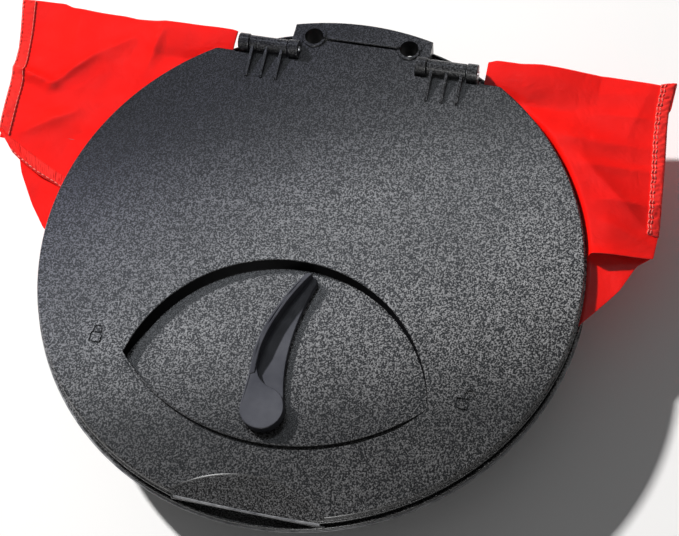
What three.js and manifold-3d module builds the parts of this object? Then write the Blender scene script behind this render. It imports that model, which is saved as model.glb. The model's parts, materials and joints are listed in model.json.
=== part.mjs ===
// A pop-up ice fishing tip-up: an insulated round hole cover with a hinged lid. The red signal flag is clamped
// under the lid, the line spool hangs from an arm that folds into the underside, and a trip shaft in that arm
// turns the trigger that lets the sprung lid fly up.
// Millimetres, +Z up. The origin is on the surface that the closed cover stands on, under its middle.
// +Y points to the lid's hinge and +X runs along the hinge pins.
import * as THREE from "three";
import { mergeVertices } from "three/addons/utils/BufferGeometryUtils.js";
import Module from "manifold-3d";

const wasm = await Module();
wasm.setup();

// Driving dimensions.
const GAP = 0.3; // between pieces that touch
const SUNK = 1; // how far a piece runs into the one that it is joined to
const FAR = 200; // reaches past every side of the object
const ROUND = 72; // sides of the big circles
const SEAT = 32; // underside of the base flange, which lies on the ice
const LID_TOP = SEAT + 14;
const LID_R = 150;
const LID_SKIN = 2.2;
const LID_EDGE = 5.8; // height of the lid's rim
const LID_CHORD_Y = 122; // straight rear edge beside the hinges
const BASE_R = 152;
const BASE_TOP = SEAT + 2.2;
const BASE_RIM_TOP = SEAT + 4;
const SKIRT_R = 112; // ring that drops into the hole
const SKIRT_WALL = 3;
const FOAM_BOTTOM = 1;

const HINGE_Y = 127.5;
const HINGE_Z = LID_TOP + 2.2;
const BARREL_R = 4.3;
const KNUCKLE_R = 4.9;
const INNER_KNUCKLE = [34.8, 41.2]; // distances from the middle along X
const LID_BARREL = [41.5, 64.2];
const OUTER_KNUCKLE = [64.5, 71];
const STRIP_Y = HINGE_Y + 3.4; // rear edge of the lid under its hinge barrels
const NOTCH_Y = 121.3; // front of the notches that the base's knuckles stand in
const LIP_FRONT_Y = 118; // where the lid's rear lip leaves its round plate
const HINGE_RIB = { at: [44.5, 53.5, 62], halfWidth: 0.95, frontY: 105.5, slopeY: 107, low: 0.7, high: 1.3 };
const HINGE_RIB_TOP = { y: HINGE_Y - 3, z: HINGE_Z + 2.4, rear: HINGE_Z + 3.4 };
const PIN_R = 1.5;
const PIN_OVER = 0.6; // how far a hinge pin stands out of its knuckles
const BORE = 0.35; // radial room round a pin
const KNUCKLE_FOOT = 4.4; // half the depth of the block under a knuckle

const SEAM_Y = 138.6; // between the lid's rear lip and the base's tongue
const TONGUE_X = 41.2;
const TONGUE_LIP_DROP = 3;
const PORT = { x: 28.5, r: 5.5, lip: 1.7, height: 1 };
const LUG = { halfWidth: 32.7, frontY: 130.3 }; // rear block of the base that holds the ports
const LIP = { halfWidth: 34.6, frontY: 128.3 }; // rear lip of the lid, in front of the ports

const EYE = { x: -0.8, upperY: -90, upperR: 83.3, lowerY: 4.7, lowerR: 114.8, depth: 6.5 };
const EYE_FLOOR = LID_TOP - EYE.depth;
const EYE_UNDER = EYE_FLOOR - 2;
const SCOOP = { x: 3, y: -192, rise: 262, ring: 62.9, edgeY: -146.2, halfWidth: 40, wall: 2 };
const SCOOP_ROOM = { halfWidth: 73, frontY: -220, rearY: -100, depth: 20 }; // the part of the ball that is used
const SCOOP_SIDES = { round: 96, high: 72 };
const RING_RIB = { innerR: 134, outerR: 135.6, rearY: 100 }; // under the lid
const SPOKE = { length: 34, width: 1.6, r: 118, angles: [-160, -20, 20, 160] };
const UNDER_RIB = 2.3; // depth of the ribs under the lid
const CLAMP_BOSS_R = 4;

const PIVOT = { x: -2.2, y: -92.3 }; // of the lock lever
const PIVOT_HOLE_R = 5.4;
const LEVER = { hubR: 11.5, bottom: EYE_FLOOR + 0.6, shelfTop: LID_TOP - 2.6, top: LID_TOP + 0.6, finTop: LID_TOP + 3 };
const LEVER_STUB = { r: 4.5, bottom: 34, boreR: 1.8, boreTop: 42 };
const LEVER_SIDE = [-11.4, 30]; // where the lever's left side starts to bend, from its pivot
const FIN_INNER_X = -8.3;
const FIN_START = 27;
const LEVER_TIP = [4.6, 77.6];
const WELL = { r: 17.4, wall: 2, floor: 28.8, skin: 1.8 };
const CAM = { bottom: 31.3, lobeTop: 34.2, top: 36.2, bossR: 8, reach: 15.5, bore: 4.8, boreFrom: 33.4, turn: 12 };
const CAM_LOBE = { root: 6.5, shoulder: 3.4, nose: 1.5 };
const WASHER = { innerR: 5.2, outerR: 8.6, bottom: 36.5, top: 37.2 };
const KEEPER = { bottom: BASE_TOP + 0.4, top: BASE_TOP + 1.7, innerR: 9.5, outerR: 26, half: 38 };
const KEEPER_SCREW = { r: 23, turn: 27, bossR: 3.4, bossBottom: 27.5, holeBottom: 28.5, tip: 29 };

const FLAG = { bottom: 37.4, top: 39.8, halfWidth: 200, rearY: 141, frontY: 49, innerX: 75, innerY: 84 };
const FLAG_STEP = { x: 98, y: 132 }; // the cloth is cut back here, so it clears the base as the lid opens
const STAY = { y: 50, z: 38.2, r: 0.8, halfLength: 176, groove: 1.1 };
const CLAMP = { x0: 36, x1: 70, y0: 43, y1: 56, bottom: 35.4, top: 37.1, screws: [-63, -43, 43, 63], screwY: 46.2 };

const CLAMP_SCREW_TIP = 42.5;
const FLAG_CORNERS = [[172, 30], [150, -10], [64, 20]]; // front of the folded lower layer

const SCREW_HOLE_R = 1.7;
const SCREW = { headR: 2.8, shankR: 1.4, head: 1.1, neck: 0.5 };
const STEM = { y: 66, z: 14, tubeR: 5, boreR: 3, tubeStart: -27, tubeEnd: 60.6, blockR: 8.2, halfWidth: 8.6 };
const STEM_BLOCK = { frontY: 57.5, halfHeight: 6.5, socketEnd: 61 };
const STEM_PIN = { r: 2.5, headR: 4, from: 5.6, neck: 12.3, shoulder: 12.4, end: 13.9, socket: 5.2 };
const BRACKET = { inner: 9, outer: 12, flange: 22, y0: 53, y1: 79, earFoot: [60, 72], earTop: [53, 78], bottom: 8 };
const BRACKET_FLANGE = 2.4; // thickness
const BRIDGE = { y1: 56, bottom: 21.4 };
const BRACKET_SCREWS = [[-17, 58], [-17, 74], [18, 58], [18, 74]];
const CRANK_SLOT = { x0: -3, room: 3, front: 3.5, rearY: 88, bracketHalf: 8.9, bracketBottom: 24 };
const SPOOL = { y: -62, r: 31, hubR: 12, bottom: 6, top: 22, flange: 2, edge: 1, taper: 0.6 };
const SPOOL_NUB = { r: 2, at: 27, angle: 50, top: 26.5 };
const SPOOL_HOLE = { r: 3.4, at: 21, count: 6, angle: 20 };
const SPOOL_BRACKET = { halfWidth: 8, bottom: 3, strapTop: 5.4, rearY: -16, over: 7.2 };
const AXLE_R = 2.4;
const AXLE = { headR: 5, bottom: 0.9, headTop: 2.7, top: 25.6 };
const NUT = { r: 4.8, bottom: 22.4, top: 25.2, wing: 9, wingHalf: 1.2, wingBottom: 22.9, wingTop: 25.4 };
const TRIP = { r: 1.5, crankR: 1.2, crankY: 88, crankX: 17, armY: -29.2, armZ: 26, armTip: -38 };
const TRIGGER = { x: 24, y: 40, bottom: BASE_TOP + 0.4, top: BASE_TOP + 2, bossR: 3.2, boreR: 1.75 };
// The trigger's outline from its pivot: the finger's end, the broad side and the tail at the crank.
const TRIGGER_SIDES = [[-5, -1], [-2.5, -24], [-2.5, -28], [2.5, -28], [3, -20], [5, 1], [2, 5], [-11.6, 18.6], [-14.4, 16.4]];
const FINGER = { halfWidth: 2.5, frontY: 4.5, footY: 12, rearY: 15, thick: 1.5 };
const CATCH = { x0: 4.4, x1: 10.6, toe: 16.4, y0: 4.6, y1: 10.6, bottom: BASE_TOP + 0.5, fingerTop: 38.1 };
const CATCH_TOE = 1.4; // thickness
const CATCH_SCREW = { x: 7.5, y: 7.6, headTop: 35.9, headR: 1.9, shankR: 1.3, tip: 44.2, sinkR: 2.3 };
const SPRING = { x: 50, y: 108, z: 38.3, coilR: 2.9, wireR: 0.6, turns: 5, pitch: 1.7, steps: 38 };
const SPRING_ARM = { lowY: 94, highY: 88, under: 1.1 };
const SPRING_LUG = { offset: 8, halfWidth: 1, root: 3, tip: 2.4, top: 41, pin: 9.4, bore: 10 };
const BUMPER = { r: 140.5, angles: [-28, -62, -118, -152], footR: 5.6, foot: 1.6, waistR: 4.2, waist: 3, topR: 3.6 };
const FOAM_ROOM = { spool: 6.5, channel: 11, blockX: 25, blockY0: 50, blockY1: 92, wellR: 30, wellBottom: 24 };

const BLACK_ABS = { color: 0x2c2d30, roughness: 0.62, metalness: 0 };
const LEVER_ABS = { color: 0x3a3d44, roughness: 0.45, metalness: 0 };
const STEEL = { color: 0xb8bcc0, roughness: 0.32, metalness: 1 };
const SPRING_STEEL = { color: 0x8d9094, roughness: 0.35, metalness: 1 };
const ALUMINIUM = { color: 0xc9ccd0, roughness: 0.38, metalness: 1 };
const RED_NYLON = { color: 0xe0140f, roughness: 0.7, metalness: 0 };
const FOAM = { color: 0x3b3f44, roughness: 0.95, metalness: 0 };
const RUBBER = { color: 0x161617, roughness: 0.85, metalness: 0 };
const SPOOL_ABS = { color: 0x202124, roughness: 0.4, metalness: 0 };

const SIDES = [-1, 1];
const group = new THREE.Group();

// ---- solids ----

function solid(geometry) {
  geometry.deleteAttribute("normal");
  geometry.deleteAttribute("uv");
  const merged = mergeVertices(geometry, 1e-4);
  return new wasm.Manifold(
    new wasm.Mesh({
      numProp: 3,
      vertProperties: merged.attributes.position.array,
      triVerts: new Uint32Array(merged.index.array),
    }),
  );
}

function addPiece(name, shape, material) {
  const made = shape.getMesh();
  const geometry = new THREE.BufferGeometry();
  geometry.setAttribute("position", new THREE.BufferAttribute(made.vertProperties, 3));
  geometry.setIndex(new THREE.BufferAttribute(made.triVerts, 1));
  const flat = geometry.toNonIndexed();
  flat.computeVertexNormals();
  const mesh = new THREE.Mesh(flat, new THREE.MeshStandardMaterial(material));
  mesh.name = name;
  group.add(mesh);
}

const join = (...shapes) => shapes.reduce((all, next) => all.add(next));
const cut = (shape, ...tools) => tools.reduce((left, tool) => left.subtract(tool), shape);
const radians = (degrees) => (degrees * Math.PI) / 180;
const polar = (r, degrees) => [r * Math.cos(radians(degrees)), r * Math.sin(radians(degrees))];

function box(x0, x1, y0, y1, z0, z1) {
  const g = new THREE.BoxGeometry(x1 - x0, y1 - y0, z1 - z0);
  return solid(g.translate((x0 + x1) / 2, (y0 + y1) / 2, (z0 + z1) / 2));
}

function disc(r, z0, z1, x = 0, y = 0, sides = 20) {
  const g = new THREE.CylinderGeometry(r, r, z1 - z0, sides).rotateX(Math.PI / 2);
  return solid(g.translate(x, y, (z0 + z1) / 2));
}

function rodX(r, x0, x1, y, z, sides = 20) {
  const g = new THREE.CylinderGeometry(r, r, Math.abs(x1 - x0), sides).rotateZ(Math.PI / 2);
  return solid(g.translate((x0 + x1) / 2, y, z));
}

function rodY(r, y0, y1, x, z, sides = 16) {
  return solid(new THREE.CylinderGeometry(r, r, y1 - y0, sides).translate(x, (y0 + y1) / 2, z));
}

function ball(r, x, y, z, sides = 8) {
  return solid(new THREE.SphereGeometry(r, sides, sides / 2).translate(x, y, z));
}

function prism(shape, z0, z1, curveSegments = 12) {
  const g = new THREE.ExtrudeGeometry(shape, { depth: z1 - z0, bevelEnabled: false, curveSegments });
  return solid(g.translate(0, 0, z0));
}

// A prism along X, from an outline in (y, z).
function prismX(points, x0, x1) {
  const shape = new THREE.Shape(points.map(([y, z]) => new THREE.Vector2(y, z)));
  const g = new THREE.ExtrudeGeometry(shape, { depth: x1 - x0, bevelEnabled: false });
  g.applyMatrix4(new THREE.Matrix4().set(0, 0, 1, x0, 1, 0, 0, 0, 0, 1, 0, 0, 0, 0, 0, 1));
  return solid(g);
}

// A solid of revolution about Z, from (r, z) points that run up its outside.
function turned(points, x = 0, y = 0, sides = 24) {
  const g = new THREE.LatheGeometry(points.map(([r, z]) => new THREE.Vector2(r, z)), sides);
  return solid(g.rotateX(Math.PI / 2).translate(x, y, 0));
}

// Round wire through points, with a ball at each corner.
function wire(points, r, sides = 8) {
  const up = new THREE.Vector3(0, 1, 0);
  const corners = points.map((p) => new THREE.Vector3(...p));
  const runs = corners.slice(1).map((end, i) => {
    const start = corners[i];
    const along = end.clone().sub(start);
    const g = new THREE.CylinderGeometry(r, r, along.length(), sides);
    g.applyQuaternion(new THREE.Quaternion().setFromUnitVectors(up, along.clone().normalize()));
    const middle = start.clone().add(end).multiplyScalar(0.5);
    return solid(g.translate(middle.x, middle.y, middle.z));
  });
  const elbows = corners.slice(1, -1).map((p) => ball(r, p.x, p.y, p.z, sides));
  return join(...runs, ...elbows);
}

// A pan-head screw along Z. Its head lies at headZ and its shank runs to tipZ, up or down.
function screw(x, y, headZ, tipZ, headR = SCREW.headR, shankR = SCREW.shankR) {
  const sense = Math.sign(tipZ - headZ);
  const along = (r, from, to, sides) => disc(r, Math.min(from, to), Math.max(from, to), x, y, sides);
  return join(along(headR, headZ, headZ - sense * SCREW.head, 16), along(shankR, headZ - sense * SCREW.neck, tipZ, 12));
}

// ---- the lid ----

// The eye-shaped outline between two arcs, grown outwards by a margin.
function eyeOutline(margin) {
  const upper = EYE.upperR + margin;
  const lower = EYE.lowerR + margin;
  const apart = EYE.lowerY - EYE.upperY;
  const rise = (upper ** 2 - lower ** 2 + apart ** 2) / (2 * apart);
  const half = Math.sqrt(upper ** 2 - rise ** 2);
  const fromUpper = Math.atan2(rise, half);
  const fromLower = Math.atan2(apart - rise, half);
  const shape = new THREE.Shape();
  shape.absarc(EYE.x, EYE.upperY, upper, fromUpper, Math.PI - fromUpper, false);
  shape.absarc(EYE.x, EYE.lowerY, lower, Math.PI + fromLower, 2 * Math.PI - fromLower, false);
  return shape;
}

function scoopBall(thicker) {
  const r = Math.hypot(SCOOP.rise, SCOOP.ring) + thicker;
  const g = new THREE.SphereGeometry(r, SCOOP_SIDES.round, SCOOP_SIDES.high).rotateX(Math.PI / 2);
  const whole = solid(g.translate(SCOOP.x, SCOOP.y, LID_TOP + SCOOP.rise));
  const { halfWidth, frontY, rearY, depth } = SCOOP_ROOM;
  return whole.intersect(
    box(SCOOP.x - halfWidth, SCOOP.x + halfWidth, frontY, rearY, LID_TOP - depth, LID_TOP + SUNK),
  );
}

// The ends of a span on one side of the middle, lowest first.
function spanOn(side, [near, far]) {
  return side > 0 ? [near, far] : [-far, -near];
}

function hingeRib(x) {
  const { frontY, slopeY, low, high, halfWidth } = HINGE_RIB;
  const outline = [
    [frontY, LID_TOP - SUNK],
    [HINGE_Y, LID_TOP - SUNK],
    [HINGE_Y, HINGE_RIB_TOP.rear],
    [HINGE_RIB_TOP.y, HINGE_RIB_TOP.z],
    [slopeY, LID_TOP + high],
    [frontY, LID_TOP + low],
  ];
  return prismX(outline, x - halfWidth, x + halfWidth);
}

function lidHalfHinge(side) {
  const [near, far] = spanOn(side, LID_BARREL);
  const ribs = HINGE_RIB.at.map((d) => hingeRib(d * side));
  return join(rodX(BARREL_R, near, far, HINGE_Y, HINGE_Z), ...ribs);
}

// What is cut out of the lid for the base's knuckles on one side.
function knuckleNotches(side) {
  const spans = [
    [INNER_KNUCKLE[0] - GAP, INNER_KNUCKLE[1] + GAP],
    [OUTER_KNUCKLE[0] - GAP, OUTER_KNUCKLE[1] + 2],
  ];
  return spans.map((span) => {
    const [a, b] = spanOn(side, span);
    return box(a, b, NOTCH_Y, FAR, 0, LID_TOP + PORT.height + GAP);
  });
}

function scoopFront(margin) {
  const half = SCOOP.halfWidth + margin;
  return box(SCOOP.x - half, SCOOP.x + half, -FAR, SCOOP.edgeY + margin, 0, FAR);
}

function underRibs(under) {
  const ring = cut(
    disc(RING_RIB.outerR, under - UNDER_RIB, under + SUNK, 0, 0, ROUND),
    disc(RING_RIB.innerR, 0, FAR, 0, 0, ROUND),
    box(-FAR, FAR, RING_RIB.rearY, FAR, 0, FAR),
  );
  const spokes = SPOKE.angles.map((angle) => {
    const height = UNDER_RIB + SUNK;
    const g = new THREE.BoxGeometry(SPOKE.length, SPOKE.width, height);
    g.translate(SPOKE.r, 0, under - UNDER_RIB + height / 2);
    return solid(g.rotateZ(radians(angle)));
  });
  return cut(join(ring, ...spokes), scoopBall(0), eyePrism(0, 0, FAR));
}

function eyePrism(margin, z0, z1) {
  return prism(eyeOutline(margin), z0, z1, 14);
}

function lidMoulding() {
  const under = LID_TOP - LID_SKIN;
  const outer = cut(
    disc(LID_R, LID_TOP - LID_EDGE, LID_TOP, 0, 0, ROUND),
    box(-FAR, FAR, LID_CHORD_Y, FAR, 0, FAR),
    scoopFront(0),
  );
  const hollow = cut(
    disc(LID_R - LID_SKIN, 0, under, 0, 0, ROUND),
    box(-FAR, FAR, LID_CHORD_Y - LID_SKIN, FAR, 0, FAR),
    eyePrism(SCOOP.wall, 0, FAR),
    scoopBall(LID_SKIN),
    scoopFront(SCOOP.wall),
  );
  const rearHalf = OUTER_KNUCKLE[1] + 2;
  const rearOpening = box(-rearHalf, rearHalf, LIP_FRONT_Y, LID_CHORD_Y + SUNK, 0, under);
  const lipHalf = INNER_KNUCKLE[0] - GAP;
  const rearLip = box(-lipHalf, lipHalf, LIP_FRONT_Y, SEAM_Y - GAP, under, LID_TOP);
  const strips = SIDES.map((side) => {
    const [a, b] = spanOn(side, LID_BARREL);
    return box(a, b, LIP_FRONT_Y, STRIP_Y, under, LID_TOP);
  });
  const lipHalves = cut(portLips(under), box(-FAR, FAR, SEAM_Y - GAP, FAR, 0, FAR));
  const bosses = CLAMP.screws.map((x) => disc(CLAMP_BOSS_R, FLAG.top + GAP, under + SUNK, x, CLAMP.screwY));
  const eyeFloor = eyePrism(SCOOP.wall, EYE_UNDER, LID_TOP - SUNK);
  const plate = join(cut(outer, hollow, rearOpening), rearLip, ...strips);
  const body = join(plate, eyeFloor, lipHalves, ...bosses, underRibs(under));
  const withHinges = join(cut(body, ...SIDES.flatMap(knuckleNotches)), ...SIDES.map(lidHalfHinge));
  return cut(
    withHinges,
    eyePrism(0, EYE_FLOOR, FAR),
    scoopBall(0),
    ...portHoles(),
    hingeBore(),
    disc(PIVOT_HOLE_R, 0, LID_TOP, PIVOT.x, PIVOT.y),
    ...CLAMP.screws.map((x) => disc(SCREW_HOLE_R, 0, under - 0.8, x, CLAMP.screwY, 12)),
    disc(SCREW_HOLE_R, 0, under + 0.8, CATCH_SCREW.x, CATCH_SCREW.y, 12),
  );
}

function portLips(bottom) {
  const r = PORT.r + PORT.lip;
  return join(...SIDES.map((side) => disc(r, bottom, LID_TOP + PORT.height, PORT.x * side, SEAM_Y)));
}

function portHoles() {
  return SIDES.map((side) => disc(PORT.r, 0, FAR, PORT.x * side, SEAM_Y));
}

function hingeBore() {
  return rodX(PIN_R + BORE, -FAR, FAR, HINGE_Y, HINGE_Z);
}

// The block behind a line, no wider than a half width on each side, where a moulding is divided.
function rearBlock(halfWidth, frontY, margin = 0) {
  const half = halfWidth + margin;
  return box(-half, half, frontY - margin, FAR, 0, FAR);
}

// ---- the lock lever ----

// Outlines of the lever seen from above, with its pivot at the origin. The left side runs straight up from the
// hub and then bends to the right; the fin stands along that side, and the shelf lies to the right of it.
function leverOutline() {
  const shape = new THREE.Shape();
  shape.absarc(0, 0, LEVER.hubR, Math.PI, radians(25), false);
  shape.quadraticCurveTo(0.2, 35.5, 11.8, 75.5);
  shape.quadraticCurveTo(11.2, 79, 7.8, 79.2);
  shape.quadraticCurveTo(5.6, 79.2, ...LEVER_TIP);
  shape.quadraticCurveTo(-10.4, 50, ...LEVER_SIDE);
  return shape;
}

function leverHubOutline() {
  const shape = new THREE.Shape();
  shape.absarc(0, 0, LEVER.hubR, Math.PI, radians(25), false);
  shape.quadraticCurveTo(9, 9.6, 2.6, 11.6);
  shape.quadraticCurveTo(-7, 13.6, FIN_INNER_X, 24);
  shape.lineTo(FIN_INNER_X, LEVER_SIDE[1]);
  shape.lineTo(...LEVER_SIDE);
  return shape;
}

function leverFinOutline() {
  const shape = new THREE.Shape();
  shape.moveTo(LEVER_SIDE[0], FIN_START);
  shape.lineTo(FIN_INNER_X, FIN_START);
  shape.lineTo(FIN_INNER_X, LEVER_SIDE[1]);
  shape.quadraticCurveTo(-6.9, 50.5, 8.6, 78.6);
  shape.lineTo(...LEVER_TIP);
  shape.quadraticCurveTo(-10.4, 50, ...LEVER_SIDE);
  return shape;
}

function lockLever() {
  const whole = join(
    prism(leverOutline(), LEVER.bottom, LEVER.shelfTop, 8),
    prism(leverHubOutline(), LEVER.bottom, LEVER.top, 8),
    prism(leverFinOutline(), LEVER.bottom, LEVER.finTop, 8),
    disc(LEVER_STUB.r, LEVER_STUB.bottom, LEVER.bottom + SUNK, 0, 0, 24),
  );
  const bore = disc(LEVER_STUB.boreR, 0, LEVER_STUB.boreTop, 0, 0, 12);
  return cut(whole, bore).translate([PIVOT.x, PIVOT.y, 0]);
}

// The lobe points towards -X at rest, and lies under the keeper when the lever is turned to the left.
function latchCam() {
  const lobe = new THREE.Shape();
  lobe.moveTo(0, -CAM_LOBE.root);
  lobe.lineTo(0, CAM_LOBE.root);
  lobe.lineTo(-CAM.reach + CAM_LOBE.nose, CAM_LOBE.shoulder);
  lobe.lineTo(-CAM.reach, 0);
  lobe.lineTo(-CAM.reach + CAM_LOBE.nose, -CAM_LOBE.shoulder);
  const made = join(disc(CAM.bossR, CAM.bottom, CAM.top), prism(lobe, CAM.bottom, CAM.lobeTop));
  const socket = disc(CAM.bore, CAM.boreFrom, FAR, 0, 0, 24);
  const bored = cut(made, socket, disc(LEVER_STUB.boreR, 0, FAR, 0, 0, 12));
  return bored.rotate([0, 0, CAM.turn]).translate([PIVOT.x, PIVOT.y, 0]);
}

function latchKeeper() {
  const shape = new THREE.Shape();
  const from = radians(-90 - KEEPER.half);
  const to = radians(-90 + KEEPER.half);
  shape.absarc(PIVOT.x, PIVOT.y, KEEPER.outerR, from, to, false);
  shape.absarc(PIVOT.x, PIVOT.y, KEEPER.innerR, to, from, true);
  return cut(prism(shape, KEEPER.bottom, KEEPER.top, 8), ...screwHoles(keeperScrewPlaces(), 0));
}

function keeperScrewPlaces() {
  return [-KEEPER_SCREW.turn, KEEPER_SCREW.turn].map((turn) => {
    const [dx, dy] = polar(KEEPER_SCREW.r, turn - 90);
    return [PIVOT.x + dx, PIVOT.y + dy];
  });
}

function screwHoles(places, bottom) {
  return places.map(([x, y]) => disc(SCREW_HOLE_R, bottom, FAR, x, y, 12));
}

function ringPiece(inner, outer, z0, z1, x, y) {
  return cut(disc(outer, z0, z1, x, y), disc(inner, 0, FAR, x, y));
}

// ---- the base ----

function baseKnuckle(side, span) {
  const [a, b] = spanOn(side, span);
  const foot = box(a, b, HINGE_Y - KNUCKLE_FOOT, HINGE_Y + KNUCKLE_FOOT, SEAT + SUNK, HINGE_Z);
  return join(rodX(KNUCKLE_R, a, b, HINGE_Y, HINGE_Z), foot);
}

function tongue() {
  const whole = disc(BASE_R, SEAT + SUNK, LID_TOP, 0, 0, ROUND);
  const block = whole.intersect(box(-TONGUE_X, TONGUE_X, SEAM_Y + GAP, FAR, 0, FAR));
  const arms = SIDES.map((side) => {
    const [a, b] = spanOn(side, INNER_KNUCKLE);
    return box(a, b, HINGE_Y, SEAM_Y + 2, SEAT + SUNK, LID_TOP);
  });
  const lips = cut(portLips(LID_TOP - TONGUE_LIP_DROP), box(-FAR, FAR, -FAR, SEAM_Y + GAP, 0, FAR));
  return join(block, ...arms, lips);
}

function springLug(x) {
  const { root, tip, top, halfWidth } = SPRING_LUG;
  const low = SEAT + SUNK;
  const outline = [[SPRING.y - root, low], [SPRING.y + root, low], [SPRING.y + tip, top], [SPRING.y - tip, top]];
  return prismX(outline, x - halfWidth, x + halfWidth);
}

function springBore(side) {
  const middle = SPRING.x * side;
  return rodX(PIN_R + BORE, middle - SPRING_LUG.bore, middle + SPRING_LUG.bore, SPRING.y, SPRING.z);
}

function baseMoulding() {
  const wellBottom = WELL.floor - WELL.skin;
  const well = disc(WELL.r + WELL.wall, wellBottom, SEAT + SUNK, PIVOT.x, PIVOT.y, 28);
  const { bossR, bossBottom } = KEEPER_SCREW;
  const keeperBosses = keeperScrewPlaces().map(([x, y]) => disc(bossR, bossBottom, SEAT + SUNK, x, y, 16));
  const lugs = SIDES.flatMap((side) =>
    SIDES.map((end) => springLug(SPRING.x * side + SPRING_LUG.offset * end)),
  );
  const knuckles = SIDES.flatMap((side) => [baseKnuckle(side, INNER_KNUCKLE), baseKnuckle(side, OUTER_KNUCKLE)]);
  const made = join(
    disc(BASE_R, SEAT, BASE_TOP, 0, 0, ROUND),
    cut(disc(BASE_R, SEAT, BASE_RIM_TOP, 0, 0, ROUND), disc(BASE_R - 2.2, 0, FAR, 0, 0, ROUND)),
    cut(disc(SKIRT_R, 0, SEAT + SUNK, 0, 0, ROUND), disc(SKIRT_R - SKIRT_WALL, -FAR, FAR, 0, 0, ROUND)),
    well,
    tongue(),
    ...keeperBosses,
    ...lugs,
    ...knuckles,
    disc(TRIGGER.bossR, SEAT - 3, SEAT + SUNK, TRIGGER.x, TRIGGER.y, 16),
  );
  return cut(
    made,
    disc(WELL.r, WELL.floor, FAR, PIVOT.x, PIVOT.y, 28),
    crankSlot(TRIP.crankX + CRANK_SLOT.room, 0, BASE_TOP + SUNK),
    ...portHoles(),
    ...screwHoles(keeperScrewPlaces(), KEEPER_SCREW.holeBottom),
    ...screwHoles(BRACKET_SCREWS, 0),
    hingeBore(),
    ...SIDES.map(springBore),
    disc(SCREW_HOLE_R, SEAT - 2, FAR, TRIGGER.x, TRIGGER.y, 12),
  );
}

// The room that the trip shaft's crank swings through.
function crankSlot(x1, z0, z1) {
  return box(CRANK_SLOT.x0, x1, STEM.y - CRANK_SLOT.front, CRANK_SLOT.rearY, z0, z1);
}

function insulationFoam() {
  const { spool, channel, blockX, blockY0, blockY1, wellR, wellBottom } = FOAM_ROOM;
  return cut(
    disc(SKIRT_R - SKIRT_WALL - 0.5, FOAM_BOTTOM, SEAT - GAP, 0, 0, ROUND),
    disc(SPOOL.r + spool, 0, FAR, 0, SPOOL.y, 48),
    box(-channel, channel, SPOOL.y, STEM.y, 0, FAR),
    box(-blockX, blockX, blockY0, blockY1, 0, FAR),
    disc(wellR, wellBottom, FAR, PIVOT.x, PIVOT.y, 32),
    disc(TRIGGER.bossR + 1.8, SEAT - 4, FAR, TRIGGER.x, TRIGGER.y, 16),
  );
}

function bumper(angle) {
  const [x, y] = polar(BUMPER.r, angle);
  const { footR, foot, waistR, waist, topR } = BUMPER;
  const low = BASE_TOP + GAP;
  const high = LID_TOP - LID_SKIN - GAP;
  const outline = [
    [0, low], [footR, low], [footR, low + foot], [waistR, low + waist], [topR, high - 1], [topR - 1, high], [0, high],
  ];
  return turned(outline, x, y, 14);
}

function torsionSpring(side) {
  class Coil extends THREE.Curve {
    getPoint(t) {
      const turn = 2 * Math.PI * (SPRING.turns - 0.5) * t - Math.PI / 2;
      const along = (t - 0.5) * SPRING.turns * SPRING.pitch;
      return new THREE.Vector3(
        side * SPRING.x + along,
        SPRING.y + SPRING.coilR * Math.cos(turn),
        SPRING.z + SPRING.coilR * Math.sin(turn),
      );
    }
  }
  const path = new Coil();
  const corners = [0, 60, 120, 180, 240, 300].map((angle) => new THREE.Vector2(...polar(SPRING.wireR, angle)));
  const section = new THREE.Shape(corners);
  const coil = new THREE.ExtrudeGeometry(section, { steps: SPRING.steps, extrudePath: path, bevelEnabled: false });
  const [low, high] = [path.getPoint(0), path.getPoint(1)];
  const arm = (p, tipY, tipZ) => wire([[p.x, p.y, p.z], [p.x, tipY, tipZ]], SPRING.wireR, 6);
  const ends = [low, high].map((p) => ball(SPRING.wireR * 1.15, p.x, p.y, p.z, 6));
  const upperArm = arm(high, SPRING_ARM.highY, LID_TOP - LID_SKIN - SPRING_ARM.under);
  return join(solid(coil), arm(low, SPRING_ARM.lowY, low.z), upperArm, ...ends);
}

// ---- the flag ----

function flagCloth() {
  const { halfWidth, rearY, frontY, innerX, innerY } = FLAG;
  const half = [
    [innerX, innerY], [innerX, FLAG_STEP.y], [FLAG_STEP.x, FLAG_STEP.y], [FLAG_STEP.x + 5, rearY],
    [halfWidth, rearY], [halfWidth, frontY], ...FLAG_CORNERS,
  ];
  const shape = new THREE.Shape();
  shape.moveTo(...half[0]);
  half.slice(1).forEach(([x, y]) => shape.lineTo(x, y));
  [...half].reverse().forEach(([x, y]) => shape.lineTo(-x, y));
  const { y, z, halfLength, groove } = STAY;
  const room = box(-halfLength - 1, halfLength + 1, y - groove, y + groove, 0, z + groove);
  const eyelets = CLAMP.screws.map((x) => disc(2.2, 0, FAR, x, CLAMP.screwY, 12));
  return cut(prism(shape, FLAG.bottom, FLAG.top), room, ...eyelets);
}

function stayRod() {
  return rodX(STAY.r, -STAY.halfLength, STAY.halfLength, STAY.y, STAY.z, 10);
}

function clampBar(side) {
  const [a, b] = spanOn(side, [CLAMP.x0, CLAMP.x1]);
  const made = box(a, b, CLAMP.y0, CLAMP.y1, CLAMP.bottom, CLAMP.top);
  return cut(made, ...screwHoles(CLAMP.screws.map((x) => [x, CLAMP.screwY]), 0));
}

// ---- the trigger ----

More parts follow.
